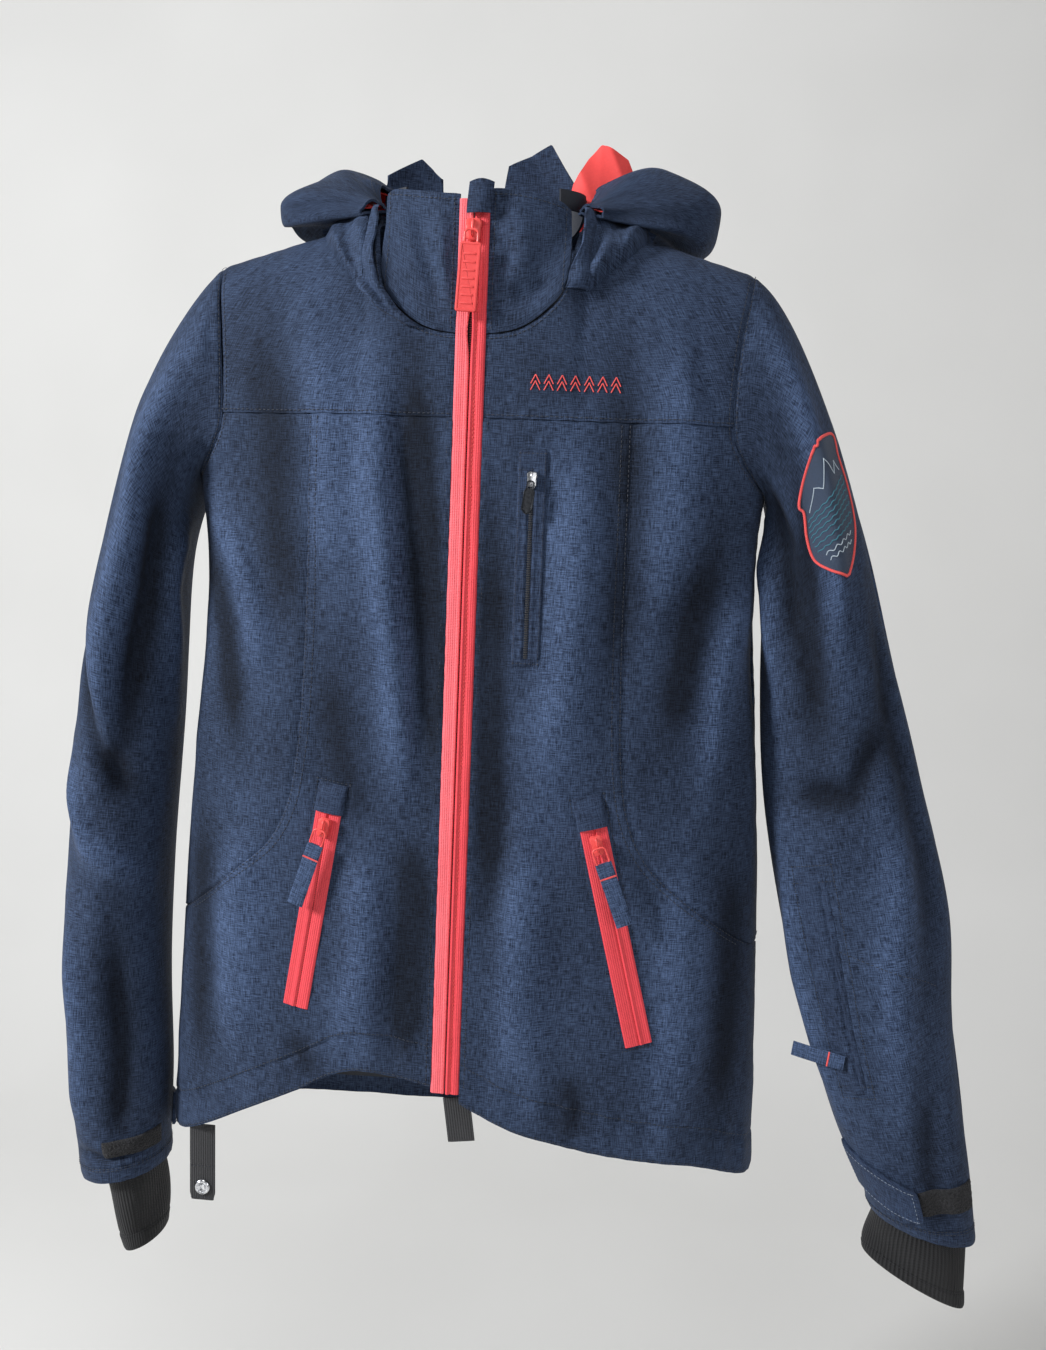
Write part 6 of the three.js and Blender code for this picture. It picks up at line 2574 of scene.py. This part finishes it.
@dataclass(frozen=True)
class Studio:
    """The camera, the pale floor and the soft lights."""

    target: tuple[float, float, float] = (0.0451, -0.075, -0.30868)
    azimuth: float = 6.0
    elevation: float = 8.0
    distance: float = 0.9
    roll: float = -2.0
    lens: float = 34.667
    sensor: float = 36.0

    def camera(self) -> None:
        """Places the camera."""
        a, e = math.radians(self.azimuth), math.radians(self.elevation)
        back = Vector((math.sin(a) * math.cos(e), -math.cos(a) * math.cos(e), math.sin(e)))
        right = (-back).cross(Vector((0, 0, 1))).normalized()
        up = right.cross(-back)
        c, s = math.cos(math.radians(self.roll)), math.sin(math.radians(self.roll))
        columns = (right * c - up * s, right * s + up * c, back)
        data = bpy.data.cameras.new("view")
        data.sensor_width, data.lens, data.clip_end = self.sensor, self.lens, 20.0
        made = bpy.data.objects.new("view", data)
        turn = Matrix(columns).transposed().to_4x4()
        made.matrix_world = Matrix.Translation(Vector(self.target) + back * self.distance) @ turn
        bpy.context.scene.collection.objects.link(made)
        bpy.context.scene.camera = made

    def lamp(self, name: str, place: Sequence[float], size: float, power: float,
             colour: Sequence[float] = (1, 1, 1)) -> None:
        """Adds a soft square light aimed at the jacket.

        Args:
            name: the light's name.
            place: where it stands, in metres.
            size: the length of its side, in metres.
            power: its power in watts.
            colour: its colour.
        """
        data = bpy.data.lights.new(name, "AREA")
        data.energy, data.size, data.color = power, size, colour
        made = bpy.data.objects.new(name, data)
        made.location = place
        made.rotation_euler = (Vector((0.0, 0.0, -0.35)) - Vector(place)).to_track_quat("-Z", "Y").to_euler()
        bpy.context.scene.collection.objects.link(made)

    def floor(self) -> None:
        """Lays a plain pale floor that sweeps up behind."""
        made = Shape()
        turns = [k * math.pi / 24 for k in range(1, 13)]
        sweep = [(0.9 + 0.9 * math.sin(t), -0.35 - 0.9 * math.cos(t)) for t in turns]
        profile = [(-3.0, -1.25), (0.9, -1.25)] + sweep + [(1.8, 2.2)]
        points = [(x, y / MM, z / MM) for y, z in profile for x in (-4000.0, 4000.0)]
        low = [(x, y + (30.0 if z > -1200 else 0.0), z - 30.0) for x, y, z in points]
        n = len(profile)
        faces = [(2 * k, 2 * k + 1, 2 * k + 3, 2 * k + 2) for k in range(n - 1)]
        faces += [tuple(2 * n + i for i in reversed(f)) for f in faces]
        faces += [(0, 2 * n, 2 * n + 1, 1), (2 * n - 2, 2 * n - 1, 4 * n - 1, 4 * n - 2)]
        for side in (0, 1):
            for k in range(n - 1):
                a, b = 2 * k + side, 2 * k + 2 + side
                faces.append((a, b, b + 2 * n, a + 2 * n) if side == 0 else (a, a + 2 * n, b + 2 * n, b))
        s = Shader("pale_floor", (0.72, 0.71, 0.69))
        tone = s.noise(s.place(), (400.0, 400.0, 400.0), 2.0)
        s.dress(Base_Color=s.blend(tone.ease(0.2, 0.8), (0.70, 0.69, 0.67), (0.74, 0.73, 0.71)),
            Roughness=tone * 0.1 + 0.75)
        made.add(np.array(points + low), faces)
        made.make("floor", s.material)

    def make(self) -> None:
        """Sets the stage."""
        self.camera()
        self.floor()
        world = bpy.data.worlds.new("soft_room")
        world.use_nodes = True
        world.node_tree.nodes["Background"].inputs["Color"].default_value = (0.93, 0.96, 1.0, 1.0)
        world.node_tree.nodes["Background"].inputs["Strength"].default_value = 0.17
        bpy.context.scene.view_settings.view_transform = "Standard"
        bpy.context.scene.world = world
        self.lamp("window_left", (-2.3, -1.35, 0.85), 0.5, 108.0, (0.96, 0.98, 1.0))
        self.lamp("window_right", (2.4, -1.3, 0.1), 1.2, 12.0, (0.98, 0.98, 1.0))
        self.lamp("ceiling", (0.1, -0.9, 2.3), 1.4, 20.0)
        self.lamp("front_fill", (0.6, -2.6, 0.2), 1.6, 10.0)


def main() -> None:
    """Builds the jacket piece by piece."""
    logging.basicConfig(level=logging.INFO, format="%(name)s: %(message)s")
    Studio().make()
    finishes = Finishes()
    BodyShell(finishes).make()
    Collar(finishes).make()
    MainZip(finishes).make()
    ChestPocket(finishes).make()
    HandPocket(finishes, Side.RIGHT, (-91, -414), (-113, -560), -0.32).make()
    HandPocket(finishes, Side.LEFT, (98, -414), (137, -571), 0.37).make()
    for side in Side:
        sleeve = Sleeve(finishes, side)
        sleeve.make()
        if side is Side.LEFT:
            SleeveExtras(sleeve).make()
    Hood(finishes).make()
    HemStraps(finishes).make()


if __name__ == "__main__":
    main()
